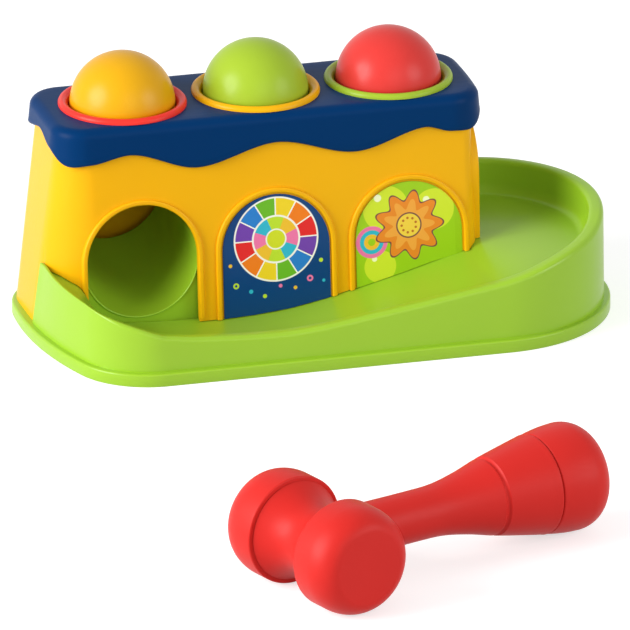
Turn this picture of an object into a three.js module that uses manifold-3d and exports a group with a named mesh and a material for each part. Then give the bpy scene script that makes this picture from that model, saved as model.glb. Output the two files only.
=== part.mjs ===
import * as THREE from "three";
import { mergeVertices } from "three/addons/utils/BufferGeometryUtils.js";
import Module from "manifold-3d";

// Pounding toy: a housing with three balls in its cover, a ramp tray round its right end and a loose hammer.
// Millimetres, +Z up, floor at Z 0. X runs along the housing from the middle hole, Y runs to the back.

const GAP = 0.3; // between pieces that don't meet on flat faces

// Balls, holes and rings
const PITCH = 58.5; // from hole to hole
const BALL_R = 22.5;
const BALL_WALL = 2.2;
const TOP_Z = 95; // the cover's flat top
const BALL_Z = TOP_Z + 0.2;
const RING_R = 27.4;
const RING_BORE = 23.4;
const RING_RISE = 2.3;
const SLEEVE_R = 24.6;
const SLEEVE_DEPTH = 6; // below the cover's flat top
const GRIP_BORE = 22.8;
const GRIP_DEPTH = 6;

// Cover
const COVER_LEFT = -PITCH - 36.1;
const COVER_RIGHT = PITCH + 33.9;
const COVER_HALF = 29.9; // half depth just under the top fillet
const COVER_FILLET = 4.5;
const COVER_CORNER = 14;
const COVER_DRAFT = 0.09;
const COVER_WALL = 2.0;
const COVER_TOP = 2.5;
const SKIRT_CORNER = 16.2; // the wavy edge, measured down from the top
const SKIRT_CREST = 12.6;
const SKIRT_LOW = 20.3;
const SKIRT_MIDDLE = 12.9;
const SKIRT_END = 8;
const SKIRT_TURN = 11; // where each corner begins on the short ends

// Housing
const HOUSING_TOP = TOP_Z - COVER_TOP;
const HOUSING_LEFT = -PITCH - 33.1; // at the top
const HOUSING_RIGHT = PITCH + 29.4;
const HOUSING_HALF = 27.4;
const HOUSING_WALL = 2.2;
const DRAFT_LEFT = 0.118;
const DRAFT_RIGHT = 0.015;
const DRAFT_SIDE = 0.095;
const CORNER_LEFT_TOP = 13;
const CORNER_LEFT_FOOT = 27;
const CORNER_RIGHT = 10;
const ARCH_R = 24.4;
const ARCH_Z = 35.6; // springing line
const ARCH_RIM = 2.6;
const ARCH_PROUD = 1.6;
const EXIT_FRONT = -27.6; // the right opening's front jamb
const EXIT_BACK = 19.4;
const EXIT_TOP = 76;
const LABEL_R = 23.5;
const LABEL_THICK = 0.5;
const LABEL_GAP = 0.1;
const BOSS_TOP = 24;
const LUG_Z = 82;
const LUG_H = 3;

// Base plate
const PLINTH_H = 5.7;
const PLINTH_FLOOR = 3;
const PLINTH_BORDER = 8;
const LEDGE = 2.7;
const TURN_X = PITCH + 29; // centre of the ramp's U-turn
const TURN_Y = -32.3;
const TURN_R = 58;
const BACK_Y = 39;
const LEFT_X = -PITCH - 46.9;
const LEFT_Y = -8; // where the bowed left end reaches furthest
const LEFT_R = 175;
const FOOT_CORNER = 34;
const FOOT_CORNER_RIGHT = 8;
const FOOT_RIGHT = PITCH + 34.1;

// Ramp tray
const RIM_WIDTH = 7;
const RIM_ROUND = 2.4;
const RIM_SHARP = 0.6; // at the seam with the housing
const TRAY_WALL = 2.2;
const TRAY_FILLET = 5;
const TRAY_DRAFT = 0.01;
const SEAM_Y = -16; // where the tray's wall meets the housing's left end
const TRAY_INNER_Y = -31.2; // floor's inner edge, just inside the front wall
const TRAY_INNER_X = PITCH + 27.1;
const POCKET_R = 16; // of the floor's inner edge in the front-left pocket
const TURN_END = 174; // degrees round the U-turn
const TRAY_END_DEPTH = 8.3; // from the wall to the floor's inner edge, where the U-turn ends
const TRAY_BOSS_TOP = 40;
const TRAY_SCREW_TOP = 10;

// Tunnel and chute
const TUNNEL_R = 24.6;
const TUNNEL_WALL = 1.8;
const TUNNEL_FRONT = -30;
const TUNNEL_BACK = 26;
const TUNNEL_FRONT_Z = 34.2;
const TUNNEL_SLOPE = 0.19;
const TUNNEL_SIDE = 6;
const CHUTE_LEFT = -25;
const CHUTE_FRONT = -28.6;
const CHUTE_BACK = 24;
const CHUTE_FLOOR_RIGHT = 31;
const CHUTE_SLOPE = 0.14;
const CHUTE_WALL = 2;
const CHUTE_SIDE = 9;

// Screws
const SCREW_R = 1.4;
const SCREW_HEAD_R = 2.7;
const SCREW_HEAD_H = 1.5;
const BOSS_R = 3.4;
const BASE_SCREW_TOP = 16;
const COVER_SCREW_TOP = 90;
const SCREW_SEAT = 1.9; // height of the base screws' seats

// Hammer
const HEAD_R = 23.4;
const HEAD_CAP_FROM = 15.6;
const HEAD_CAP_TO = 37.9;
const HEAD_FACE_R = 15;
const HEAD_ROUND = 13;
const HEAD_SHOULDER_R = 21.4;
const HEAD_WAIST_R = 14.5;
const HANDLE_R = 11;
const HANDLE_SOCKET = 6;
const HANDLE_LENGTH = 139.2;
const HANDLE_END_R = 23.4;
const HANDLE_FACE_R = 12;
const HANDLE_ROUND = 12;
const GROOVE_HALF = 1.2;
const GROOVE_DEEP = 0.9;
const KNOB_FROM = HANDLE_LENGTH - 27.2;
const GROOVE_AT = KNOB_FROM - 25;
const HANDLE_KEYS = [
  [HANDLE_SOCKET, HANDLE_R], [GROOVE_AT - 37, 10.9], [GROOVE_AT - 25, 11.7], [GROOVE_AT - 12, 14.5],
  [GROOVE_AT, 17.9], [GROOVE_AT + 13, 20.9], [KNOB_FROM, 22.6], [KNOB_FROM + 13, HANDLE_END_R],
];
const HAMMER_X = -65.5;
const HAMMER_Y = -337;
const HAMMER_TURN = 20.3; // degrees from +X to the handle

const wasm = await Module();
wasm.setup();
const holes = [-PITCH, 0, PITCH];

function solid(geometry) {
  const bare = geometry.clone();
  bare.deleteAttribute("normal");
  bare.deleteAttribute("uv");
  const merged = mergeVertices(bare, 1e-4);
  const old = merged.index.array;
  const kept = [];
  for (let i = 0; i < old.length; i += 3) {
    const [a, b, c] = [old[i], old[i + 1], old[i + 2]];
    if (a !== b && b !== c && a !== c) kept.push(a, b, c);
  }
  const vertProperties = new Float32Array(merged.attributes.position.array);
  const build = (list) =>
    new wasm.Manifold(new wasm.Mesh({ numProp: 3, vertProperties, triVerts: new Uint32Array(list) }));
  const first = build(kept);
  return first.volume() > 0 ? first : build(kept.reverse());
}

// Triangles that fill a flat outline, turned the way the outline runs.
function fill(outline) {
  const facing = Math.sign(THREE.ShapeUtils.area(outline));
  return THREE.ShapeUtils.triangulateShape(outline, []).map(([a, b, c]) => {
    const same = Math.sign(THREE.ShapeUtils.area([outline[a], outline[b], outline[c]])) === facing;
    return same ? [a, b, c] : [a, c, b];
  });
}

// Rings of points with equal counts become one closed skin, capped at both ends unless it closes on itself.
function loft(rings, caps) {
  const count = rings[0].length;
  const points = rings.flat();
  const index = [];
  const last = caps ? rings.length - 1 : rings.length;
  for (let i = 0; i < last; i++) {
    const next = (i + 1) % rings.length;
    for (let j = 0; j < count; j++) {
      const k = (j + 1) % count;
      const [a, b, c, d] = [i * count + j, i * count + k, next * count + k, next * count + j];
      index.push(a, b, c, a, c, d);
    }
  }
  if (caps) {
    const top = (rings.length - 1) * count;
    for (const [a, b, c] of fill(caps[0])) index.push(a, c, b);
    for (const [a, b, c] of fill(caps[1])) index.push(top + a, top + b, top + c);
  }
  const geometry = new THREE.BufferGeometry().setFromPoints(points);
  geometry.setIndex(index);
  return solid(geometry);
}

function revolve(profile, segments = 28, place = new THREE.Matrix4()) {
  const points = [...profile, profile[0]].map(([r, z]) => new THREE.Vector2(r, z));
  const turned = new THREE.LatheGeometry(points, segments).rotateX(Math.PI / 2);
  return solid(turned.applyMatrix4(place));
}

function cylinder(radius, z0, z1, x, y, segments = 8) {
  const shape = new THREE.CylinderGeometry(radius, radius, z1 - z0, segments);
  return solid(shape.rotateX(Math.PI / 2).translate(x, y, (z0 + z1) / 2));
}

function box(x0, x1, y0, y1, z0, z1) {
  const shape = new THREE.BoxGeometry(x1 - x0, y1 - y0, z1 - z0);
  return solid(shape.translate((x0 + x1) / 2, (y0 + y1) / 2, (z0 + z1) / 2));
}

function prism(shape, z0, z1, curveSegments = 24) {
  const options = { depth: z1 - z0, bevelEnabled: false, curveSegments };
  return solid(new THREE.ExtrudeGeometry(shape, options).translate(0, 0, z0));
}

function union(list) {
  return list.reduce((sum, item) => sum.add(item));
}

function arcPoints(cx, cy, r, from, to, steps) {
  const list = [];
  for (let i = 0; i <= steps; i++) {
    const t = THREE.MathUtils.degToRad(from + ((to - from) * i) / steps);
    list.push([cx + r * Math.cos(t), cy + r * Math.sin(t)]);
  }
  return list;
}

// Smooth curve through [place, value] keys, flat at both ends.
function curve(keys, x) {
  const n = keys.length;
  if (x <= keys[0][0]) return keys[0][1];
  if (x >= keys[n - 1][0]) return keys[n - 1][1];
  const i = keys.findIndex(([p]) => p > x) - 1;
  const slope = (k) =>
    k <= 0 || k >= n - 1 ? 0 : (keys[k + 1][1] - keys[k - 1][1]) / (keys[k + 1][0] - keys[k - 1][0]);
  const h = keys[i + 1][0] - keys[i][0];
  const t = (x - keys[i][0]) / h;
  const [a, b] = [keys[i][1], keys[i + 1][1]];
  const [m, k] = [slope(i) * h, slope(i + 1) * h];
  const t2 = t * t;
  const t3 = t2 * t;
  return (2 * t3 - 3 * t2 + 1) * a + (t3 - 2 * t2 + t) * m + (3 * t2 - 2 * t3) * b + (t3 - t2) * k;
}

const root = new THREE.Group();

function add(name, made, color) {
  const mesh = made.getMesh();
  const geometry = new THREE.BufferGeometry();
  geometry.setAttribute("position", new THREE.BufferAttribute(new Float32Array(mesh.vertProperties), 3));
  geometry.setIndex(new THREE.BufferAttribute(new Uint32Array(mesh.triVerts), 1));
  geometry.computeVertexNormals();
  const node = new THREE.Mesh(geometry, new THREE.MeshStandardMaterial({ color, roughness: 0.35 }));
  node.name = name;
  root.add(node);
}

const GREEN = 0x9bc53d;
const YELLOW = 0xf2b31c;
const NAVY = 0x003c78;
const RED = 0xe0392f;
const LIME = 0xb4d23a;
const STEEL = 0x9a9a9a;

// Rounded outline of the housing or cover, with its own corner radius at each end.
function planRing(left, right, half, rLeft, rRight, z, steps = 6) {
  const corners = [
    [left + rLeft, -half + rLeft, rLeft, 180],
    [right - rRight, -half + rRight, rRight, 270],
    [right - rRight, half - rRight, rRight, 0],
    [left + rLeft, half - rLeft, rLeft, 90],
  ];
  const ring = corners.flatMap(([x, y, r, from]) => arcPoints(x, y, r, from, from + 90, steps));
  return ring.map(([x, y]) => new THREE.Vector3(x, y, z));
}

function stack(rings) {
  const flat = (ring) => ring.map((p) => new THREE.Vector2(p.x, p.y));
  return loft(rings, [flat(rings[0]), flat(rings[rings.length - 1])]);
}

// Base plate: the plinth follows the housing's foot and the ramp tray, a step wider all round.
const leftCentreX = LEFT_X + LEFT_R;
function cornerX(y) {
  return leftCentreX - Math.sqrt((LEFT_R - FOOT_CORNER) ** 2 - (y - LEFT_Y) ** 2);
}
const frontY = TURN_Y - TURN_R;
const frontCorner = [cornerX(frontY + FOOT_CORNER), frontY + FOOT_CORNER];
const backCorner = [cornerX(BACK_Y - FOOT_CORNER), BACK_Y - FOOT_CORNER];
const degrees = THREE.MathUtils.radToDeg;
const frontTangent = degrees(Math.atan2(frontCorner[1] - LEFT_Y, frontCorner[0] - leftCentreX)) + 360;
const backTangent = degrees(Math.atan2(backCorner[1] - LEFT_Y, backCorner[0] - leftCentreX));

function plinthShape(inset) {
  const right = FOOT_RIGHT - inset;
  const turn = TURN_R - inset;
  const meet = degrees(Math.acos((right - TURN_X) / turn));
  const points = [
    ...arcPoints(TURN_X, TURN_Y, turn, -90, meet, 20),
    ...arcPoints(FOOT_RIGHT - FOOT_CORNER_RIGHT, BACK_Y - FOOT_CORNER_RIGHT, FOOT_CORNER_RIGHT - inset, 0, 90, 6),
    ...arcPoints(...backCorner, FOOT_CORNER - inset, 90, backTangent, 10),
    ...arcPoints(leftCentreX, LEFT_Y, LEFT_R - inset, backTangent, frontTangent, 8).slice(1),
    ...arcPoints(...frontCorner, FOOT_CORNER - inset, frontTangent, 270, 10).slice(1),
  ];
  return new THREE.Shape(points.map(([x, y]) => new THREE.Vector2(x, y)));
}

// Housing outline at a height, grown or shrunk by an offset.
function housingRing(z, offset) {
  const down = HOUSING_TOP - z;
  const share = down / HOUSING_TOP;
  const cornerLeft = CORNER_LEFT_TOP + (CORNER_LEFT_FOOT - CORNER_LEFT_TOP) * share;
  return planRing(
    HOUSING_LEFT - DRAFT_LEFT * down - offset,
    HOUSING_RIGHT + DRAFT_RIGHT * down + offset,
    HOUSING_HALF + DRAFT_SIDE * down + offset,
    cornerLeft + offset,
    CORNER_RIGHT + offset,
    z,
  );
}

function housingSolid(offset, z0, z1) {
  return stack([housingRing(z0, offset), housingRing(z1, offset)]);
}

// Ramp tray: stations run from the seam on the left end, round the front-left corner, along the front
// and round the U-turn. Each has an outer point, an inner point and a place from 0 to 3 along the way.
function trayStations() {
  const list = [];
  const seamAngle = 180 + degrees(Math.asin((LEFT_Y - SEAM_Y) / (LEFT_R - LEDGE)));
  const pocket = [HOUSING_LEFT - DRAFT_LEFT * HOUSING_TOP + CORNER_LEFT_FOOT, TRAY_INNER_Y + POCKET_R];
  const outer = [
    ...arcPoints(leftCentreX, LEFT_Y, LEFT_R - LEDGE, seamAngle, frontTangent, 5),
    ...arcPoints(...frontCorner, FOOT_CORNER - LEDGE, frontTangent, 270, 9).slice(1),
  ];
  const inner = arcPoints(...pocket, POCKET_R, 196, 270, outer.length - 1);
  outer.forEach((p, i) => list.push({ p, q: inner[i], place: i / (outer.length - 1) }));
  const lines = 10;
  for (let i = 1; i <= lines; i++) {
    const t = i / lines;
    const x = frontCorner[0] + (TURN_X - frontCorner[0]) * t;
    const innerX = inner[inner.length - 1][0] + (TRAY_INNER_X - inner[inner.length - 1][0]) * t;
    list.push({ p: [x, frontY + LEDGE], q: [innerX, TRAY_INNER_Y], place: 1 + t });
  }
  const turns = 16;
  const turnBack = TURN_Y + (TURN_R - LEDGE) * Math.sin(THREE.MathUtils.degToRad(TURN_END - 90));
  const innerBack = turnBack - TRAY_END_DEPTH;
  for (let i = 1; i <= turns; i++) {
    const t = i / turns;
    const a = THREE.MathUtils.degToRad(TURN_END * t - 90);
    const r = TURN_R - LEDGE;
    const p = [TURN_X + r * Math.cos(a), TURN_Y + r * Math.sin(a)];
    list.push({ p, q: [TRAY_INNER_X, TRAY_INNER_Y + (innerBack - TRAY_INNER_Y) * t], place: 2 + t });
  }
  return list;
}

const RIM_KEYS = [
  [0, 33], [0.5, 27.5], [1, 21.2], [1.112, 19.3], [1.374, 18], [1.643, 22.8], [1.892, 28.5],
  [2.003, 31.3], [2.158, 37.3], [2.318, 41.8], [2.426, 45.2], [2.6, 47.6], [3, 47.6],
];
const FLOOR_OUTER_KEYS = [
  [0, 32], [0.25, 28.7], [0.5, 24.9], [0.68, 11.4], [1, 8], [1.24, 6.3], [1.45, 6.8], [1.6, 10.5], [1.9, 19],
  [2, 22], [2.2, 28], [2.45, 31.5], [2.7, 32.6], [3, 33],
];
const FLOOR_INNER_KEYS = [
  [0, 32], [0.25, 28.7], [0.5, 24.9], [0.68, 11.4], [1, 8], [1.24, 6.2], [1.45, 7.6], [1.59, 11], [1.8, 19],
  [1.979, 26.3], [2.15, 29], [2.5, 30.8], [3, 31],
];

// One closed section through the tray, as [distance inwards, height]. A filled one reaches below the floor.
function traySection(station, grow, filled) {
  const { p, q, place } = station;
  const reach = Math.hypot(q[0] - p[0], q[1] - p[1]);
  const draft = curve([[0, DRAFT_LEFT], [0.7, TRAY_DRAFT]], place);
  const rim = curve(RIM_KEYS, place) + grow;
  const round = curve([[0, RIM_SHARP], [0.45, RIM_ROUND]], place);
  const floorOuter = curve(FLOOR_OUTER_KEYS, place) + grow;
  const floorInner = curve(FLOOR_INNER_KEYS, place) + grow;
  const lean = draft * (rim - PLINTH_H) - grow;
  const inside = Math.min(lean + RIM_WIDTH + 2 * grow, reach - 2.5);
  const room = Math.max(reach - inside - 1, 1);
  const fillet = Math.min(TRAY_FILLET, room, (rim - floorOuter - round) * 0.8);
  const slope = (floorInner - floorOuter) / (reach - inside);
  const steps = 2;
  const section = [[-grow, filled ? -1 : PLINTH_H]];
  for (let i = 0; i <= steps; i++) {
    const t = ((Math.PI / 2) * i) / steps;
    section.push([lean + round * (1 - Math.cos(t)), rim - round * (1 - Math.sin(t))]);
  }
  for (let i = 0; i <= steps; i++) {
    const t = ((Math.PI / 2) * i) / steps;
    section.push([inside - round * (1 - Math.sin(t)), rim - round * (1 - Math.cos(t))]);
  }
  for (let i = 0; i <= steps; i++) {
    const t = ((Math.PI / 2) * i) / steps;
    const along = fillet * (1 - Math.cos(t));
    section.push([inside + along, floorOuter + slope * along + fillet * (1 - Math.sin(t))]);
  }
  const end = reach + grow;
  section.push([end, floorInner]);
  if (filled) {
    section.push([end, -1]);
  } else {
    const under = TRAY_WALL;
    section.push([end, PLINTH_FLOOR]);
    section.push([end - under, PLINTH_FLOOR]);
    section.push([end - under, floorInner - under - slope * under]);
    section.push([inside + fillet * 0.4, floorOuter + slope * fillet * 0.4 - under]);
    section.push([inside - under, floorOuter + fillet * 0.5 - under * 0.4]);
    section.push([inside - under, rim - under - 1]);
    section.push([lean + under, rim - under - 1]);
    section.push([under, PLINTH_H]);
  }
  const [dx, dy] = [(q[0] - p[0]) / reach, (q[1] - p[1]) / reach];
  return {
    flat: section.map(([n, z]) => new THREE.Vector2(n, z)),
    ring: section.map(([n, z]) => new THREE.Vector3(p[0] + dx * n, p[1] + dy * n, z)),
  };
}

function traySolid(grow, filled) {
  const made = trayStations().map((s) => traySection(s, grow, filled));
  return loft(made.map((m) => m.ring), [made[0].flat, made[made.length - 1].flat]);
}

const trayFilled = traySolid(GAP, true);

// Screw places
const wallScrewX = -PITCH / 2 + 1.05; // between the tunnel and the chute
const housingScrews = [[-PITCH - 33.5, 4], [wallScrewX, -26.4], [wallScrewX, 26.8], [PITCH + 19.5, 27]];
const trayScrews = [[PITCH - 10.5, -58], [PITCH + 53.5, -60], [PITCH + 63.5, -14]];
const coverScrews = [[-PITCH / 2, -21], [PITCH / 2, -21], [-PITCH / 2, 21], [PITCH / 2, 21]];

function holeThrough(list, r, z0, z1, segments) {
  return union(list.map(([x, y]) => cylinder(r, z0, z1, x, y, segments)));
}

let plate = prism(plinthShape(0), 0, PLINTH_H, 1);
plate = plate.subtract(prism(plinthShape(PLINTH_BORDER), PLINTH_FLOOR, PLINTH_H + 1, 1));
const plateScrews = [...housingScrews, ...trayScrews];
plate = plate.subtract(holeThrough(plateScrews, SCREW_R + GAP, -1, PLINTH_FLOOR + 1));
plate = plate.subtract(holeThrough(plateScrews, SCREW_HEAD_R + GAP, -1, SCREW_SEAT));
add("base_plate", plate, GREEN);

// The tray's bosses stand on the plate under its floor.
let tray = traySolid(0, false);
const belowFloor = traySolid(-0.6, true);
trayScrews.forEach(([x, y]) => {
  tray = tray.add(cylinder(BOSS_R, PLINTH_FLOOR, TRAY_BOSS_TOP, x, y).intersect(belowFloor));
  tray = tray.subtract(cylinder(SCREW_R + GAP, PLINTH_FLOOR - 1, TRAY_SCREW_TOP + GAP, x, y));
});
add("ramp_tray", tray, GREEN);

// Tunnel under the left hole: an open half pipe on two legs, sloping to the front arch, with a front plate
// that fills the arch's lower corners.
function tunnelSection(radius, rise, y) {
  const axisZ = TUNNEL_FRONT_Z + (y - TUNNEL_FRONT) * TUNNEL_SLOPE;
  const lower = arcPoints(0, 0, radius, 180, 360, 16);
  const points = [[-radius, rise], ...lower, [radius, rise]];
  return points.map(([x, z]) => new THREE.Vector3(x - PITCH, y, z + axisZ));
}
function tunnelSolid(radius, rise, y0, y1) {
  const rings = [tunnelSection(radius, rise, y0), tunnelSection(radius, rise, y1)];
  const flat = rings.map((ring) => ring.map((p) => new THREE.Vector2(p.x, p.z)));
  return loft(rings, flat);
}
const tunnelBore = tunnelSolid(TUNNEL_R, 60, TUNNEL_FRONT - 5, TUNNEL_BACK + 5);
const tunnelLegs = [TUNNEL_FRONT + 8, TUNNEL_BACK - 8].map((y) =>
  box(-PITCH - 11, -PITCH + 11, y - 1.5, y + 1.5, PLINTH_FLOOR, TUNNEL_FRONT_Z),
);
const tunnelPipe = tunnelSolid(TUNNEL_R + TUNNEL_WALL, TUNNEL_SIDE, TUNNEL_FRONT, TUNNEL_BACK);
const tunnelOuter = TUNNEL_R + TUNNEL_WALL;
const flangeFront = TRAY_INNER_Y + GAP;
const flangeBack = TUNNEL_FRONT + TUNNEL_WALL;
const tunnelFlange = box(
  -PITCH - tunnelOuter, -PITCH + tunnelOuter, flangeFront, flangeBack, PLINTH_FLOOR, TUNNEL_FRONT_Z,
);
const inside = housingSolid(-HOUSING_WALL - GAP, PLINTH_FLOOR, HOUSING_TOP);
const tunnel = union([tunnelPipe, tunnelFlange, ...tunnelLegs]).subtract(tunnelBore);
add("ball_tunnel", tunnel.intersect(inside).subtract(trayFilled), GREEN);

// Chute under the middle and right holes: a sloping channel on three legs, ending level with the exit.
const chuteRight = TRAY_INNER_X - GAP;
const chuteFloor = (x) => CHUTE_FLOOR_RIGHT + (chuteRight - x) * CHUTE_SLOPE;
function chuteSection(x, floor) {
  const low = floor - CHUTE_WALL;
  const high = floor + CHUTE_SIDE;
  const [y0, y1] = [CHUTE_FRONT, CHUTE_BACK];
  const [i0, i1] = [CHUTE_FRONT + CHUTE_WALL, CHUTE_BACK - CHUTE_WALL];
  const points = [[y0, low], [y1, low], [y1, high], [i1, high], [i1, floor], [i0, floor], [i0, high], [y0, high]];
  return points.map(([y, z]) => new THREE.Vector3(x, y, z));
}
const chuteRings = [CHUTE_LEFT, chuteRight].map((x) => chuteSection(x, chuteFloor(x)));
let chute = loft(chuteRings, chuteRings.map((ring) => ring.map((p) => new THREE.Vector2(p.y, p.z))));
const chuteTop = chuteFloor(CHUTE_LEFT);
chute = chute.add(
  box(CHUTE_LEFT, CHUTE_LEFT + CHUTE_WALL, CHUTE_FRONT, CHUTE_BACK, chuteTop - 1.5, chuteTop + CHUTE_SIDE),
);
for (const x of [CHUTE_LEFT + 12, PITCH / 2, PITCH + 12]) {
  chute = chute.add(box(x - 1.2, x + 1.2, -22, 18, PLINTH_FLOOR, chuteFloor(x) - CHUTE_WALL / 2));
}
add("inner_chute", chute.intersect(inside), GREEN);

// Housing: a drafted shell with raised arches on the front and at the right exit.
function archShape(centre, radius, springing) {
  const shape = new THREE.Shape();
  shape.moveTo(centre - radius, 0);
  shape.lineTo(centre + radius, 0);
  shape.lineTo(centre + radius, springing);
  shape.absarc(centre, springing, radius, 0, Math.PI, false);
  shape.closePath();
  return shape;
}
function archFront(centre, radius) {
  const options = { depth: 60, bevelEnabled: false, curveSegments: 16 };
  return solid(new THREE.ExtrudeGeometry(archShape(centre, radius, ARCH_Z), options).rotateX(Math.PI / 2));
}
const exitR = (EXIT_BACK - EXIT_FRONT) / 2;
const exitY = (EXIT_BACK + EXIT_FRONT) / 2;
function archRight(radius) {
  const options = { depth: 60, bevelEnabled: false, curveSegments: 16 };
  const shape = new THREE.ExtrudeGeometry(archShape(exitY, radius, EXIT_TOP - exitR), options);
  return solid(shape.rotateX(Math.PI / 2).rotateZ(Math.PI / 2).translate(60, 0, 0));
}
const proud = housingSolid(ARCH_PROUD, PLINTH_H, HOUSING_TOP).subtract(housingSolid(-1, 0, HOUSING_TOP + 1));
let housing = housingSolid(0, PLINTH_H, HOUSING_TOP);
housing = housing.subtract(housingSolid(-HOUSING_WALL, PLINTH_H - 1, HOUSING_TOP + 1));
for (const x of holes) {
  housing = housing.add(archFront(x, ARCH_R + ARCH_RIM).subtract(archFront(x, ARCH_R)).intersect(proud));
}
housing = housing.add(archRight(exitR + ARCH_RIM).subtract(archRight(exitR)).intersect(proud));
housing = housing.subtract(archFront(-PITCH, ARCH_R)).subtract(archRight(exitR));
const lining = housingSolid(-HOUSING_WALL / 2, PLINTH_H, HOUSING_TOP);
const [leftBoss, ...sideBosses] = housingScrews;
const ribs = [box(leftBoss[0] - 18, leftBoss[0], leftBoss[1] - 1, leftBoss[1] + 1, PLINTH_H + 0.6, BOSS_TOP)];
for (const [x, y] of sideBosses) {
  const [y0, y1] = y < 0 ? [-40, y] : [y, 40];
  ribs.push(box(x - 1, x + 1, y0, y1, PLINTH_H + 0.6, BOSS_TOP));
}
for (const rib of ribs) housing = housing.add(rib.intersect(lining));
for (const [x, y] of housingScrews) housing = housing.add(cylinder(BOSS_R, PLINTH_FLOOR, BOSS_TOP, x, y));
for (const [x, y] of coverScrews) {
  const [y0, y1] = y < 0 ? [-40, y + 4] : [y - 4, 40];
  housing = housing.add(box(x - 4.5, x + 4.5, y0, y1, LUG_Z, LUG_Z + LUG_H).intersect(lining));
}
housing = housing.subtract(holeThrough(housingScrews, SCREW_R + GAP, PLINTH_FLOOR - 1, BASE_SCREW_TOP + GAP));
housing = housing.subtract(holeThrough(coverScrews, SCREW_R + GAP, LUG_Z - 1, LUG_Z + LUG_H + 1));
housing = housing.subtract(trayFilled);
add("body_housing", housing, YELLOW);

// Labels lie on the front face inside the middle and right arches.
const skin = housingSolid(LABEL_GAP + LABEL_THICK, PLINTH_H, HOUSING_TOP).subtract(
  housingSolid(LABEL_GAP, 0, HOUSING_TOP + 1),
);
add("label_middle", archFront(0, LABEL_R).intersect(skin).subtract(trayFilled), NAVY);
add("label_right", archFront(PITCH, LABEL_R).intersect(skin).subtract(trayFilled), LIME);

// Cover: the skirt is one ring of sections round the outline, its lower edge a wave.
const coverCentre = (COVER_LEFT + COVER_RIGHT) / 2;
const coverEdgeX = (COVER_RIGHT - COVER_LEFT) / 2 - COVER_CORNER;
const coverEdgeY = COVER_HALF - COVER_CORNER;
const waveKeys = [[0, SKIRT_MIDDLE], [PITCH * 0.6, SKIRT_LOW], [PITCH + 6.5, SKIRT_CREST], [coverEdgeX, SKIRT_CORNER]];
const endKeys = [[0, SKIRT_END], [coverEdgeY, SKIRT_TURN]];
function coverStations() {
  const list = [];
  const long = 22;
  const short = 6;
  const side = (steps, from, to, normal, keys) => {
    for (let i = 0; i < steps; i++) {
      const t = i / steps;
      const base = [from[0] + (to[0] - from[0]) * t, from[1] + (to[1] - from[1]) * t];
      const along = normal[0] === 0 ? base[0] : base[1];
      list.push({ base, normal, drop: curve(keys, Math.abs(along)) });
    }
  };
  const corner = (x, y, from) => {
    for (let i = 0; i < 6; i++) {
      const a = THREE.MathUtils.degToRad(from + 15 * i);
      const drop = SKIRT_TURN + (SKIRT_CORNER - SKIRT_TURN) * Math.sin(a) ** 2;
      list.push({ base: [x, y], normal: [Math.cos(a), Math.sin(a)], drop });
    }
  };
  const [ex, ey] = [coverEdgeX, coverEdgeY];
  side(long, [-ex, -ey], [ex, -ey], [0, -1], waveKeys);
  corner(ex, -ey, -90);
  side(short, [ex, -ey], [ex, ey], [1, 0], endKeys);
  corner(ex, ey, 0);
  side(long, [ex, ey], [-ex, ey], [0, 1], waveKeys);
  corner(-ex, ey, 90);
  side(short, [-ex, ey], [-ex, -ey], [-1, 0], endKeys);
  corner(-ex, -ey, 180);
  return list;
}
const skirtRings = coverStations().map(({ base, normal, drop }) => {
  const shoulder = TOP_Z - COVER_FILLET;
  const low = TOP_Z - drop;
  const flare = COVER_DRAFT * (shoulder - low);
  const section = [[COVER_CORNER + flare, low]];
  for (let i = 0; i <= 3; i++) {
    const t = (Math.PI / 6) * i;
    section.push([
      COVER_CORNER - COVER_FILLET * (1 - Math.cos(t)),
      shoulder + COVER_FILLET * Math.sin(t),
    ]);
  }
  section.push([COVER_CORNER - COVER_FILLET - 3, TOP_Z]);
  section.push([COVER_CORNER - COVER_FILLET - 3, HOUSING_TOP]);
  section.push([COVER_CORNER - COVER_WALL, HOUSING_TOP]);
  section.push([COVER_CORNER - COVER_WALL + flare, low]);
  return section.map(
    ([n, z]) => new THREE.Vector3(coverCentre + base[0] + normal[0] * n, base[1] + normal[1] * n, z),
  );
});
const deckInset = COVER_FILLET + 1.5;
const deck = [HOUSING_TOP, TOP_Z].map((z) =>
  planRing(
    COVER_LEFT + deckInset,
    COVER_RIGHT - deckInset,
    COVER_HALF - deckInset,
    COVER_CORNER - deckInset,
    COVER_CORNER - deckInset,
    z,
  ),
);
let cover = loft(skirtRings).add(stack(deck));
for (const [x, y] of coverScrews) cover = cover.add(cylinder(BOSS_R, LUG_Z + LUG_H + GAP, HOUSING_TOP + 1, x, y));
cover = cover.subtract(holeThrough(holes.map((x) => [x, 0]), SLEEVE_R + GAP, HOUSING_TOP - 1, TOP_Z + 1, 30));
cover = cover.subtract(holeThrough(coverScrews, SCREW_R + GAP, LUG_Z, COVER_SCREW_TOP + GAP));
add("top_cover", cover, NAVY);

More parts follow.
